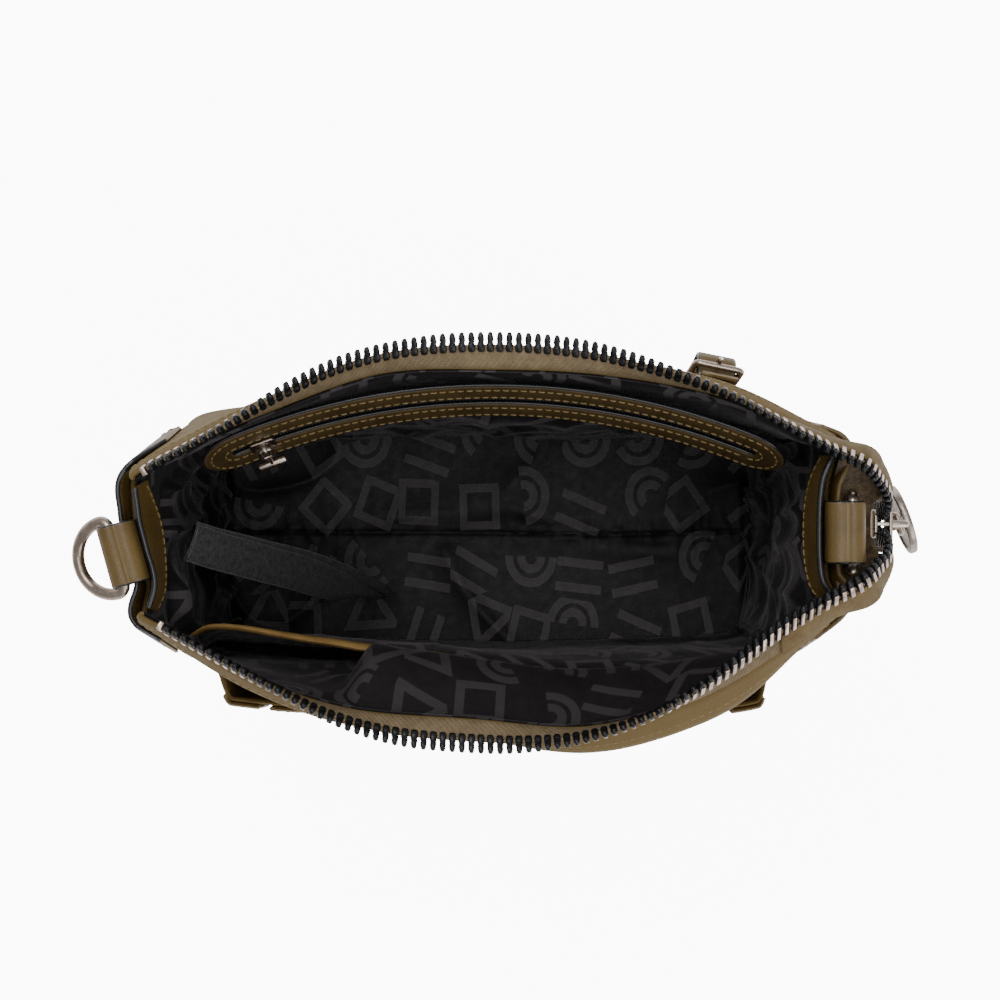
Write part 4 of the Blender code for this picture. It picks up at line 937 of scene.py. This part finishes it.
# ------------------------------------------------------------------ metal: slider, pull, rings
PULL_YAW = math.radians(19)
LINK_X, LINK_WIRE, LINK_DROP, LINK_HALF = 5.9, 0.8, 6.0, 3.2
DISC_R, DISC_THICK, DISC_DROP, DISC_OFF = 11.4, 2.6, 9.6, 3.6
LINK_TOP = Vector((TAIL_X + LINK_X, TAIL_Y, MOUTH_Z - 5.4))


def plate_outline(wide, narrow, long, cut=1.6):
    half, tail = 0.5 * wide, 0.5 * narrow
    return [
        (-half + cut, 0), (half - cut, 0), (half, -cut), (half, -0.45 * long),
        (tail, -long + cut), (tail - cut, -long), (-tail + cut, -long), (-tail, -long + cut),
        (-half, -0.45 * long), (-half, -cut),
    ]


def main_slider():
    shift = Matrix.Translation((TAIL_X, TAIL_Y, MOUTH_Z))
    long, near, far = 11.0, 1.75, 2.95  # of the two plates, from the zip's middle plane
    outer = upright(prism_shape(plate_outline(12.0, 9.6, long), near, far))
    inner = upright(prism_shape(plate_outline(9.0, 7.44, long), -far, -near))
    neck = box_shape((-2.3, -0.6, -2.6), (2.3, 0.6, -0.2))
    shapes = [(outer, 0.4), (inner, 0.4), (neck, 0.25)]
    for s in (1, -1):
        rib = [(s * 6.0, -1.8), (s * 5.1, -1.8), (s * 4.2, -9.6), (s * 5.0, -9.6)]
        shapes.append((upright(prism_shape(rib, 0.9, 1.9)), 0))
    parts = [(place(s, shift), NICKEL, w) for s, w in shapes]
    arch = [
        (2.6, -1.6), (4.4, -1.75), (6.6, -1.85), (7.7, -2.4), (8.05, -3.4),
        (8.05, -5.6), (7.7, -6.7), (6.6, -7.35), (4.4, -7.4), (2.6, -7.5),
    ]
    verts, faces = tube_shape([(x, 0, z) for x, z in arch], 0.62, 10)
    verts = [Vector((v.x, v.y * 1.75, v.z)) for v in verts]
    parts.append((place((verts, faces), shift), NICKEL, 0))
    solid("slider_body", parts, ["main_slider"], "main_slider")


def loop_path(half, drop, corner, count=7):
    """A closed rectangle with rounded corners that hangs in the YZ plane."""
    spots = []
    y, top, foot = half - corner, -corner, corner - drop
    for k, centre in enumerate(((y, top), (-y, top), (-y, foot), (y, foot))):
        for i in range(count):
            turn = math.radians(90 * k + 90 * i / (count - 1))
            spots.append((0, centre[0] + corner * math.cos(turn), centre[1] + corner * math.sin(turn)))
    return spots


def lathe(profile, sides):
    """A turned solid about X from (x, radius) points, closed at both ends."""
    turns = [2 * math.pi * k / sides for k in range(sides)]
    verts = [(x, r * math.cos(turn), r * math.sin(turn)) for x, r in profile for turn in turns]
    faces = [tuple(range(sides)), tuple(range((len(profile) - 1) * sides, len(profile) * sides))]
    for i in range(len(profile) - 1):
        for k in range(sides):
            m = (k + 1) % sides
            faces.append((i * sides + k, i * sides + m, (i + 1) * sides + m, (i + 1) * sides + k))
    return verts, faces


def main_pull():
    turn = Matrix.Translation(LINK_TOP) @ Matrix.Rotation(PULL_YAW, 4, "Z")
    link = tube_shape(loop_path(LINK_HALF, LINK_DROP, 1.2), LINK_WIRE, 14, True)
    solid("pull_link", [(place(link, turn), NICKEL, 0)], ["main_pull_link"], "main_link", 80)
    h, r = 0.5 * DISC_THICK, DISC_R
    half = [(h - 0.42, 0.05), (h - 0.42, r - 2.6), (h - 0.36, r - 2.2), (h - 0.05, r - 1.9)]
    half += [(h, r - 1.5), (h, r - 0.75), (h - 0.22, r - 0.22), (h - 0.75, r)]
    profile = [(-x, q) for x, q in half] + [(x, q) for x, q in reversed(half)]
    disc = place(lathe(profile, 64), Matrix.Translation((DISC_OFF, 0, -DISC_DROP)))
    knuckle = tube_shape([(0, y, 0) for y in (-1.9, -1.7, 1.7, 1.9)], [1.7, 2.0, 2.0, 1.7], 20)
    arm = box_shape((0.4, -1.7, -3.6), (DISC_OFF - 0.2, 1.7, 1.2))
    cross = box_shape((1.3, -3.2, -2.6), (DISC_OFF - 0.9, 3.2, -0.4))
    ball = lathe([(-1.6 + 3.2 * i / 8, 0.1 + 1.5 * math.sin(math.pi * i / 8)) for i in range(9)], 16)
    ball = place(ball, Matrix.Translation((1.4, 0, 1.5)))
    drop = turn @ Matrix.Translation((0, 0, -LINK_DROP))
    parts = [(disc, 0), (knuckle, 0), (arm, 0.35), (cross, 0.4), (ball, 0)]
    parts = [(place(s, drop), WORN_NICKEL, w) for s, w in parts]
    solid("pull_disc", parts, ["main_pull_disc"], "main_disc")


RING_WIRE, RING_WIDE, RING_DEEP, RING_CORNER = 1.9, 22.6, 15.0, 3.0
TAB_WIDE, TAB_R, TAB_HOLE, TAB_FLOOR = 18.0, 3.9, 2.3, -11.0
LEFT_BAR, LEFT_YAW, LEFT_TILT = Vector((-112.6, -4.6, 162.0)), math.radians(15.5), math.radians(30)
RIGHT_BAR, RIGHT_YAW = Vector((113.1, 2.6, 162.0)), 0.0


def ring_path():
    """A D ring's wire: its straight bar on Y, two corners and the bow."""
    half = 0.5 * RING_WIDE
    flat = half - RING_CORNER
    spots = [(0, y, 0) for y in np.linspace(-flat, flat, 12)]
    for i in range(1, 7):
        turn = math.radians(-90 + 90 * i / 6)
        spots.append((RING_CORNER * (1 + math.sin(turn)), flat + RING_CORNER * math.cos(turn), 0))
    bow = RING_DEEP - RING_CORNER
    for i in range(1, 40):
        turn = math.pi * i / 40
        spots.append((RING_CORNER + bow * math.sin(turn), half * math.cos(turn), 0))
    return spots + [(x, -y, 0) for x, y, _ in reversed(spots[12:18])]


def ring_and_tab(side, bar, yaw, tilt, tuck):
    out = Matrix.Rotation(math.pi if side == "left" else 0.0, 4, "Z")
    spot = Matrix.Translation(bar) @ Matrix.Rotation(yaw, 4, "Z") @ out
    ring = place(tube_shape(ring_path(), RING_WIRE, 24, True), spot @ Matrix.Rotation(tilt, 4, "Y"))
    solid(f"{side}_ring_bar", [(ring, NICKEL, 0)], [f"{side}_d_ring"], f"{side}_ring", 80)
    middle = []
    lean = tuck - 2.2
    inner_r = 0.5 * (TAB_R + TAB_HOLE)
    for i in range(21):
        turn = math.radians(128 - 256 * i / 20)
        middle.append((inner_r * math.cos(turn), inner_r * math.sin(turn)))
    up = [(-4.6, 2.5), (1.1 - tuck, 1.0), (0.7 - tuck, -1.5), (0.7 - tuck, -6), (0.7 - tuck, TAB_FLOOR)]
    low = [(-4.0, -2.9), (0.4 - lean, -3.2), (-lean - 0.55, -4.6), (-lean - 0.75, -7.5)]
    low.append((-lean - 0.75, TAB_FLOOR))
    path = np.array(list(reversed(up)) + middle + low)
    ys = 0.5 * TAB_WIDE * np.array([-1, -0.97, -0.9, -0.6, -0.2, 0.2, 0.6, 0.9, 0.97, 1])
    t = np.linspace(0, len(path) - 1, 90)
    path = curve(path, t)
    rounding = np.array([0.35, 0.12, 0, 0, 0, 0, 0, 0, 0.12, 0.35])
    grid = [[spot @ Vector((x * r, y, z)) for y, r in zip(ys, 1 - 0.02 * rounding)] for x, z in path]
    grid = np.array(grid)
    cloth(f"{side}_ring_loop", grid, 1.45, LEATHER, [f"{side}_ring_tab"])
    edges = [(tube_shape(grid[:, k], 0.66, 8), EDGE_PAINT, 0) for k in (0, -1)]
    solid(f"{side}_loop_edge", edges, sharp=80)


def end_trims():
    """Leather patches round both ends with painted top edges, and the rings in their loops."""
    for side, first, last in (("left", LEFT, ROUND), ("right", RIGHT, BACK)):
        outer, inner = (first - 0.6, last + 0.6), (first + 0.4, last - 0.4)
        u = np.linspace(*outer, 91)
        near = np.minimum(u - outer[0], outer[1] - u)
        top = PATCH_TOP_Z - (10.0 if side == "left" else 2.5) * smooth(1 - near / 0.42)
        z = PATCH_LOW_Z + (top - PATCH_LOW_Z) * np.linspace(0, 1, 21)[:, None]
        lift = PATCH_LIFT - 0.75 * smooth(1 - near / 0.35)
        grid = wall(u, z, lift)
        cloth(f"{side}_end_leather", grid, 1.6, LEATHER, [f"{side}_end_patch"])
        line = wall(u, top, lift)
        edge = tube_shape(line, 0.86, 10), EDGE_PAINT if side == "left" else LEATHER, 0
        solid(f"{side}_end_edge", [edge], sharp=80)
        stitches(f"{side}_outer_stitching", [wall_line(u[1:-1], PATCH_LOW_Z + 2.0, lift[1:-1] + 0.85)])
        u = np.linspace(*inner, 81)
        belly = np.sin(np.pi * (u - inner[0]) / (inner[1] - inner[0])) ** 1.5
        low = 147.5 - 12.5 * belly
        z = low + (PATCH_TOP_Z + 2 - low) * np.linspace(0, 1, 15)[:, None]
        patch = wall(u, z, INNER_PATCH_LIFT)
        cloth(f"{side}_inner_leather", patch, 1.2, LEATHER, [f"{side}_inner_patch"])
        line = wall(u, PATCH_TOP_Z + 2.2, INNER_PATCH_LIFT)
        solid(f"{side}_inner_edge", [(tube_shape(line, 0.95, 10), EDGE_PAINT, 0)], sharp=80)
        path, normals = wall_line(u[2:-2], low[2:-2] + 2.0, INNER_PATCH_LIFT - 0.65)
        stitches(f"{side}_inner_stitching", [(path, -normals)])
    ring_and_tab("left", LEFT_BAR, LEFT_YAW, LEFT_TILT, 7.5)
    ring_and_tab("right", RIGHT_BAR, RIGHT_YAW, math.pi / 2, 8.0)


# ------------------------------------------------------------------ zipped inner pocket
ARC_X, ARC_Y, ARC_R, ARC_Z, ARC_SLOPE = 3.0, -168.0, 211.5, 141.0, 0.36
FRAME_HALF, FRAME_HIGH, SLOT_HALF, SLOT_HIGH, FRAME_THICK = 25.4, 12.0, 23.0, 2.4, 1.3
COIL_GAP, INNER_SLIDER_ANGLE = 0.9, -20.2
ARC_TILT = math.atan(ARC_SLOPE)


def arc_spot(angle, across, depth):
    """A point on the pocket's cone: degrees round, height up the slope, depth towards the wall."""
    radius = ARC_R + across * math.sin(ARC_TILT) + depth * math.cos(ARC_TILT)
    turn = math.radians(angle)
    z = ARC_Z + across * math.cos(ARC_TILT) - depth * math.sin(ARC_TILT)
    return Vector((ARC_X + radius * math.sin(turn), ARC_Y + radius * math.cos(turn), z))


def racetrack(half, high, count=14):
    per_degree = ARC_R * math.pi / 180
    inner = half - high / per_degree
    spots = []
    for start, centre in ((-90, inner), (90, -inner)):
        for i in range(count + 1):
            turn = math.radians(start + 180 * i / count)
            spots.append((centre + high / per_degree * math.cos(turn), high * math.sin(turn)))
        spots += [(centre - 2 * centre * k / 60, high if start < 0 else -high) for k in range(1, 60)]
    return spots


def on_arc(angle):
    """A slider's frame on the arc: +X into the bag, +Y along the zip, +Z up the slope."""
    turn = math.radians(angle)
    radial = Vector((math.sin(turn), math.cos(turn), 0))
    out = -(radial * math.cos(ARC_TILT) - Vector((0, 0, math.sin(ARC_TILT))))
    up = radial * math.sin(ARC_TILT) + Vector((0, 0, math.cos(ARC_TILT)))
    turned = Matrix((out, up.cross(out), up)).transposed().to_4x4()
    return Matrix.Translation(arc_spot(angle, 0, 0)) @ turned


def inner_pocket():
    outer, inner = racetrack(FRAME_HALF, FRAME_HIGH), racetrack(SLOT_HALF, SLOT_HIGH)
    rows = []
    for k in range(9):
        part = k / 8
        puff = 0.55 * math.sin(math.pi * part)
        line = (1 - part) * np.array(outer) + part * np.array(inner)
        rows.append([arc_spot(a, v, 0.65 - puff) for a, v in line])
    cloth("pocket_window", np.array(rows), 1.3, POCKET_LEATHER, ["inner_pocket_frame"], wrap=True)
    for name, path in (("outer", outer), ("inner", inner)):
        line = [arc_spot(a, v, 0.65) for a, v in path]
        edge = (tube_shape(line, 0.62, 8, True), EDGE_PAINT, 0)
        solid(f"pocket_window_{name}_edge", [edge], sharp=80)
    lines = []
    for half, high in ((FRAME_HALF - 0.55, FRAME_HIGH - 2.0), (SLOT_HALF + 0.55, SLOT_HIGH + 2.0)):
        track = racetrack(half, high)
        track.append(track[0])
        line = [arc_spot(a, v, -0.32) for a, v in track]
        lines.append((line, [on_arc(a).to_3x3() @ Vector((1, 0, 0)) for a, v in track]))
    stitches("pocket_window_stitching", lines, pitch=2.8, long=2.0)
    depth = FRAME_THICK + 0.9
    half, turns, steps = 22.7, 160, 6  # the coil's reach in degrees, its turns, points on each turn
    for name, low, high in (("upper", COIL_GAP, 7.5), ("lower", -7.5, -COIL_GAP)):
        angles = np.linspace(-half - 1.0, half + 1.0, 121)
        grid = [[arc_spot(a, v, depth) for a in angles] for v in np.linspace(low, high, 5)]
        cloth(f"coil_tape_{name}", np.array(grid), 0.6, COIL_TAPE, [f"inner_zip_{name}"])
        sign = 1 if name == "upper" else -1
        path = []
        for k in range(turns * steps + 1):
            around = 2 * math.pi * k / steps
            angle = -half + 2 * half * k / (turns * steps)
            across = sign * (0.95 + 0.75 * math.cos(around))
            path.append(arc_spot(angle, across, depth - 0.6 + 0.42 * math.sin(around)))
        solid(f"coil_{name}", [(tube_shape(path, 0.27, 5), COIL, 0)], sharp=80)
    path = [(z, -4.5) for z in (126, 110, 94, 78, 66)] + [(60, -3.9), (59, -3.4), (60, -2.9)]
    path += [(z, -2.6) for z in (66, 78, 94, 110, 126, 138, 150)]
    u = np.linspace(13.5, 18.5, 61)
    fine = curve(path, np.linspace(0, len(path) - 1, 70))
    grid = np.stack([wall(u, z, off + 0.12 * ripple(u * 6, z / 7, 51)) for z, off in fine])
    pouch = cloth("pocket_pouch", grid, 0.4, LINING, ["inner_pocket_bag"])


def inner_slider():
    spot = on_arc(INNER_SLIDER_ANGLE)
    plate = [(-4.2, -2.4), (-3.4, -3.2), (3.4, -3.2), (4.2, -2.4)]
    plate += [(-y, -z) for y, z in plate]
    back_face = -FRAME_THICK - 1.6
    parts = [(upright(prism_shape(plate, 0.4, 1.4)), 0.3)]
    parts.append((box_shape((back_face - 0.8, -3.4, -1.9), (back_face, 3.4, 1.9)), 0.2))
    parts.append((box_shape((back_face - 0.4, -1.4, -0.55), (0.9, 1.4, 0.55)), 0))
    arch = [(1.2, 2.1), (2.6, 2.15), (3.6, 1.85), (4.1, 1.0)]
    arch += [(4.15, 0)] + [(x, -z) for x, z in reversed(arch)]
    verts, faces = tube_shape([(x, 0, z) for x, z in arch], 0.46, 10)
    parts.append((([Vector((v.x, 1.9 * v.y, v.z)) for v in verts], faces), 0))
    parts = [(place(s, spot), NICKEL, w) for s, w in parts]
    solid("pocket_slider", parts, ["inner_slider"], "inner_slider")
    hang = spot @ Matrix.Translation((2.7, 0, -0.4))
    loop = tube_shape(loop_path(1.9, 5.4, 0.9, 5), 0.55, 10, True)
    stem = tube_shape([(0, 0, z) for z in (-5.2, -7, -9, -11.4)], [0.8, 0.75, 0.75, 0.85], 12)
    ends = (-4.6, -4.4, -4, 4, 4.4, 4.6)
    bar = tube_shape([(0, y, -11.6) for y in ends], [0.9, 1.2, 1.3, 1.3, 1.2, 0.9], 16)
    parts = [(place(s, hang), NICKEL, 0) for s in (loop, stem, bar)]
    solid("pocket_pull", parts, ["inner_pull"], "inner_pull")


# ------------------------------------------------------------------ open pockets
SLIP_U, SLIP_Z = (0.5, 7.0), (46.0, 122.0)
SLIP_GAPE = (0.0, 6.5, 9.2, 9.8, 9.4, 8.0, 6.0, 4.2, 2.6, 1.8, 1.4, 1.2, 0.8, 0.0)
POCKET_U, POCKET_Z, POCKET_DEEP = (1.25, 7.0), (20.0, 112.0), 10.5


def slip_offset(u, rise=1.0):
    """How far the open pocket's sheet stands in from the wall."""
    first, last = SLIP_U
    gape = curve([(g,) for g in SLIP_GAPE], (u - first) / (last - first) * (len(SLIP_GAPE) - 1))[..., 0]
    return LINING_INSET + LINING_THICK + 1.2 + gape * rise


def slip_face(u, z):
    low, high = SLIP_Z
    rise = np.clip((z - low) / (high - low), 0, 1)
    slack = 0.8 * creases(u * STATION / 13, z / 20, 61, 2) * (0.3 + 0.7 * smooth((118 - z) / 20))
    return -slip_offset(u, rise) - slack


def slip_pocket():
    low, high = SLIP_Z
    grid = wall_grid(SLIP_U, (low, high), 161, 51, slip_face)
    pocket = cloth("slip_pocket_cloth", grid, 0.6, LINING, ["slip_pocket_panel"], shift=(40.0, 15.0))
    u = np.linspace(*SLIP_U, 160)
    rows = []
    fold = [(-2.2, 0.75), (-0.4, 0.75), (0.9, 0.55)]
    for rise, off in [(z, -off) for z, off in fold] + [(1.35, 0.0)] + fold[::-1]:
        rows.append(wall(u, high + rise, slip_face(u, high) + off))
    edge = cloth("slip_pocket_edge", np.stack(rows), 0.55, BINDING, ["slip_pocket_binding"])


def pocket_face(u, z):
    first, last = POCKET_U
    side = np.minimum(smooth((u - first) / 0.3), smooth((last - u) / 0.3))
    foot = smooth((z - POCKET_Z[0]) / 9.0)
    slack = 0.5 * ripple(u * STATION / 19, z / 9, 71) * smooth((100 - z) / 20)
    return 0.9 + (POCKET_DEEP - 1.2) * np.minimum(side, foot) + slack * np.minimum(side, foot)


def front_pocket():
    (first, last), (low, high) = POCKET_U, POCKET_Z
    spans = ((first, first + 0.4, 12), (first + 0.45, last - 0.45, 100), (last - 0.4, last, 12))
    levels = ((low, low + 12, 14), (low + 14, high, 40))
    u, z = np.meshgrid(*(np.concatenate([np.linspace(*span) for span in part]) for part in (spans, levels)))
    cloth("patch_pocket", wall(u, z, pocket_face(u, z)), 1.2, NYLON, ["front_pocket_panel"])

    band_lift, thread_lift = 1.7, 2.5

    def band(name, node, u0, u1, z0, z1, cols, rows):
        grid = wall_grid((u0, u1), (z0, z1), cols, rows, lambda u, z: pocket_face(u, z) + band_lift)
        cloth(name, grid, 1.4, LEATHER, [node])

    band("patch_pocket_band", "front_pocket_band", first + 0.75, last - 0.75, high - 13, high, 120, 9)
    for side, start in (("left", first + 0.2), ("right", last - 0.62)):
        name = f"pocket_tab_{side}"
        band(f"patch_{name}", f"front_{name}", start, start + 0.42, high - 20, high, 25, 13)
    lines = []
    for level in (high - 11.2, high - 1.8):
        u = np.linspace(first + 0.78, last - 0.78, 160)
        lines.append(wall_line(u, level, pocket_face(u, level) + thread_lift))
    for start in (first + 0.24, last - 0.58):
        z = np.linspace(high - 18.5, high - 1.5, 12)
        for u0 in (start, start + 0.34):
            lines.append(wall_line(u0, z, pocket_face(u0, z) + thread_lift))
    stitches("patch_pocket_stitching", lines)


# ------------------------------------------------------------------ rear strap and buckle
STRAP_X, STRAP_WIDE = 71.0, 11.0
BUCKLE_BAR_Z, BUCKLE_HIGH, BUCKLE_WIDE, BUCKLE_WIRE, BAR_OUT = 137.0, 12.5, 14.6, 1.1, 4.6


def strap_frame():
    """The rear strap's frame on the back wall: its station, then +X out, +Y across, +Z up."""
    spots = np.linspace(BACK, LEFT, 400)
    u = next(s for s in spots if wall_point(s, BUCKLE_BAR_Z).x < STRAP_X)
    spot = wall_point(u, BUCKLE_BAR_Z)
    lean = (wall_point(u, BUCKLE_BAR_Z + 10) - wall_point(u, BUCKLE_BAR_Z - 10)).normalized()
    way = outward(np.array([u]), np.array([BUCKLE_BAR_Z]))[0]
    across = Vector((-way[1], way[0], 0))
    out = across.cross(lean).normalized()
    return u, Matrix.Translation(spot) @ Matrix((out, across, lean)).transposed().to_4x4()


def strap_grid(path, half, spot):
    """A strap's mid-surface along a side path of (out, up) points."""
    path = curve(path, np.linspace(0, len(path) - 1, 8 * len(path)))
    ys = half * np.array([-1, -0.85, -0.4, 0, 0.4, 0.85, 1])
    return np.array([[spot @ Vector((x, y, z)) for y in ys] for x, z in path])


def rear_strap():
    u, spot = strap_frame()

    def hug(out, up):
        """A point of the strap's side path that stands out from the wall, up from the bar."""
        level = spot.inverted() @ wall_point(u, BUCKLE_BAR_Z + up)
        return (out + level.x, level.z)

    half = 0.5 * STRAP_WIDE
    turns = [math.radians(a) for a in range(150, -131, -20)]
    wrap = [(BAR_OUT + 2.3 * math.cos(turn), 2.3 * math.sin(turn)) for turn in turns]
    keeper = [hug(2.1, up) for up in (-42, -32, -22, -12)] + [(1.9, -6), (2.1, -1)] + wrap
    keeper += [(3.2, -4.2), (3.4, -9)]
    cloth("rear_keeper_leather", strap_grid(keeper, half, spot), 1.5, LEATHER, ["rear_keeper"])
    path = [hug(1.4, 18), hug(1.5, 13.5), (3.0, 9.8), (6.6, 7.6), (10.2, 5.0), (11.4, 0.5), (9.0, -5.5)]
    path += [hug(4.6, up) for up in (-12, -20, -30)]
    cloth("rear_strap_leather", strap_grid(path, half, spot), 1.6, LEATHER, ["rear_strap"])
    edges = []
    for y in (-half, half):
        fine = curve(path, np.linspace(0, len(path) - 1, 70))
        line = [spot @ Vector((x, y, z)) for x, z in fine]
        edges.append((tube_shape(line, 0.72, 8), EDGE_PAINT, 0))
    solid("rear_strap_edge", edges, sharp=80)
    lines = []
    for y in (-half + 1.6, half - 1.6):
        fine = curve(path[5:], np.linspace(0, len(path) - 6, 40))
        line = [spot @ Vector((x + 0.85, y, z)) for x, z in fine]
        lines.append((line, [spot.to_3x3() @ Vector((1, 0, 0.1))] * len(line)))
    stitches("rear_strap_stitching", lines, pitch=2.6, long=1.9, radius=0.22)
    lean = Matrix.Translation((BAR_OUT, 0, 0)) @ Matrix.Rotation(math.radians(9), 4, "Y")
    ring = tube_shape(loop_path(0.5 * BUCKLE_WIDE, BUCKLE_HIGH, 1.7, 9), BUCKLE_WIRE, 16, True)
    ring = place(ring, spot @ lean @ Matrix.Translation((0, 0, BUCKLE_HIGH)))
    solid("buckle_loop", [(ring, NICKEL, 0)], ["rear_buckle_frame"], "buckle_frame", 80)
    wrap = tube_shape([(BAR_OUT, y, 0) for y in (-1.3, -1.1, 1.1, 1.3)], [2.2, 2.5, 2.5, 2.2], 20)
    tongue = [(BAR_OUT + x, 0, z) for x, z in ((2.0, 0.6), (2.6, 4.0), (3.7, 8.0), (4.3, 12.4), (4.1, 15.0))]
    prong = tube_shape(curve(tongue, np.linspace(0, 4, 17)), [0.8] * 14 + [0.76, 0.66, 0.4], 12)
    parts = [(place(s, spot), NICKEL, 0) for s in (wrap, prong)]
    solid("buckle_tongue", parts, ["rear_buckle_prong"], "buckle_prong")


def key_ribbon():
    """The doubled ribbon: two layers that part a little on the way down."""
    path = [
        (-93.5, -1.0, 131), (-88, -3.4, 123), (-82, -5.6, 114), (-73, -8.8, 100), (-63, -12.3, 84),
        (-55, -16, 69), (-49.5, -18.8, 54), (-46, -20.6, 38), (-44.2, -21.6, 24), (-43.4, -22.2, 14),
        (-43.2, -22.4, 8.5),
    ]
    half, part = 6.0, np.linspace(0, 1, 90)
    fine = curve(path, (len(path) - 1) * part)
    along = np.gradient(fine, axis=0)
    along /= np.linalg.norm(along, axis=1, keepdims=True)
    across = np.cross(np.cross(np.array([0.28, 0.96, 0.0]), along), along)
    across /= np.linalg.norm(across, axis=1, keepdims=True)
    up = np.cross(across, along)
    part = part[:, None]
    turn = math.radians(80) * smooth((part - 0.3) / 0.6)
    across, up = across * np.cos(turn) - up * np.sin(turn), up * np.cos(turn) + across * np.sin(turn)
    grids = []
    for layer in (0.5, -0.5):
        sway = -across * (0.6 + 3.2 * part) * (layer < 0)
        rows = []
        for s in np.linspace(-1, 1, 9):
            rise = layer * (0.8 + 1.6 * part) + 0.5 * math.cos(2 * s)
            rows.append(fine + across * half * s + up * rise + sway)
        grids.append(np.stack(rows, axis=1))
    cords = [(tube_shape(grid[:, k], 0.3, 6), RIBBON_EDGE, 0) for grid in grids for k in (0, -1)]
    selvedge = solid("key_ribbon_selvedge", cords, sharp=80)
    ribbon = cloth("key_ribbon_weave", grids, 0.4, RIBBON, ["key_ribbon"])


nylon_body()
floor_pieces()
lining()
main_zip()
end_tab()
main_slider()
main_pull()
end_trims()
inner_pocket()
inner_slider()
slip_pocket()
front_pocket()
rear_strap()
key_ribbon()
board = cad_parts["base_board"]
for held in board.material_slots:
    held.material = BOARD
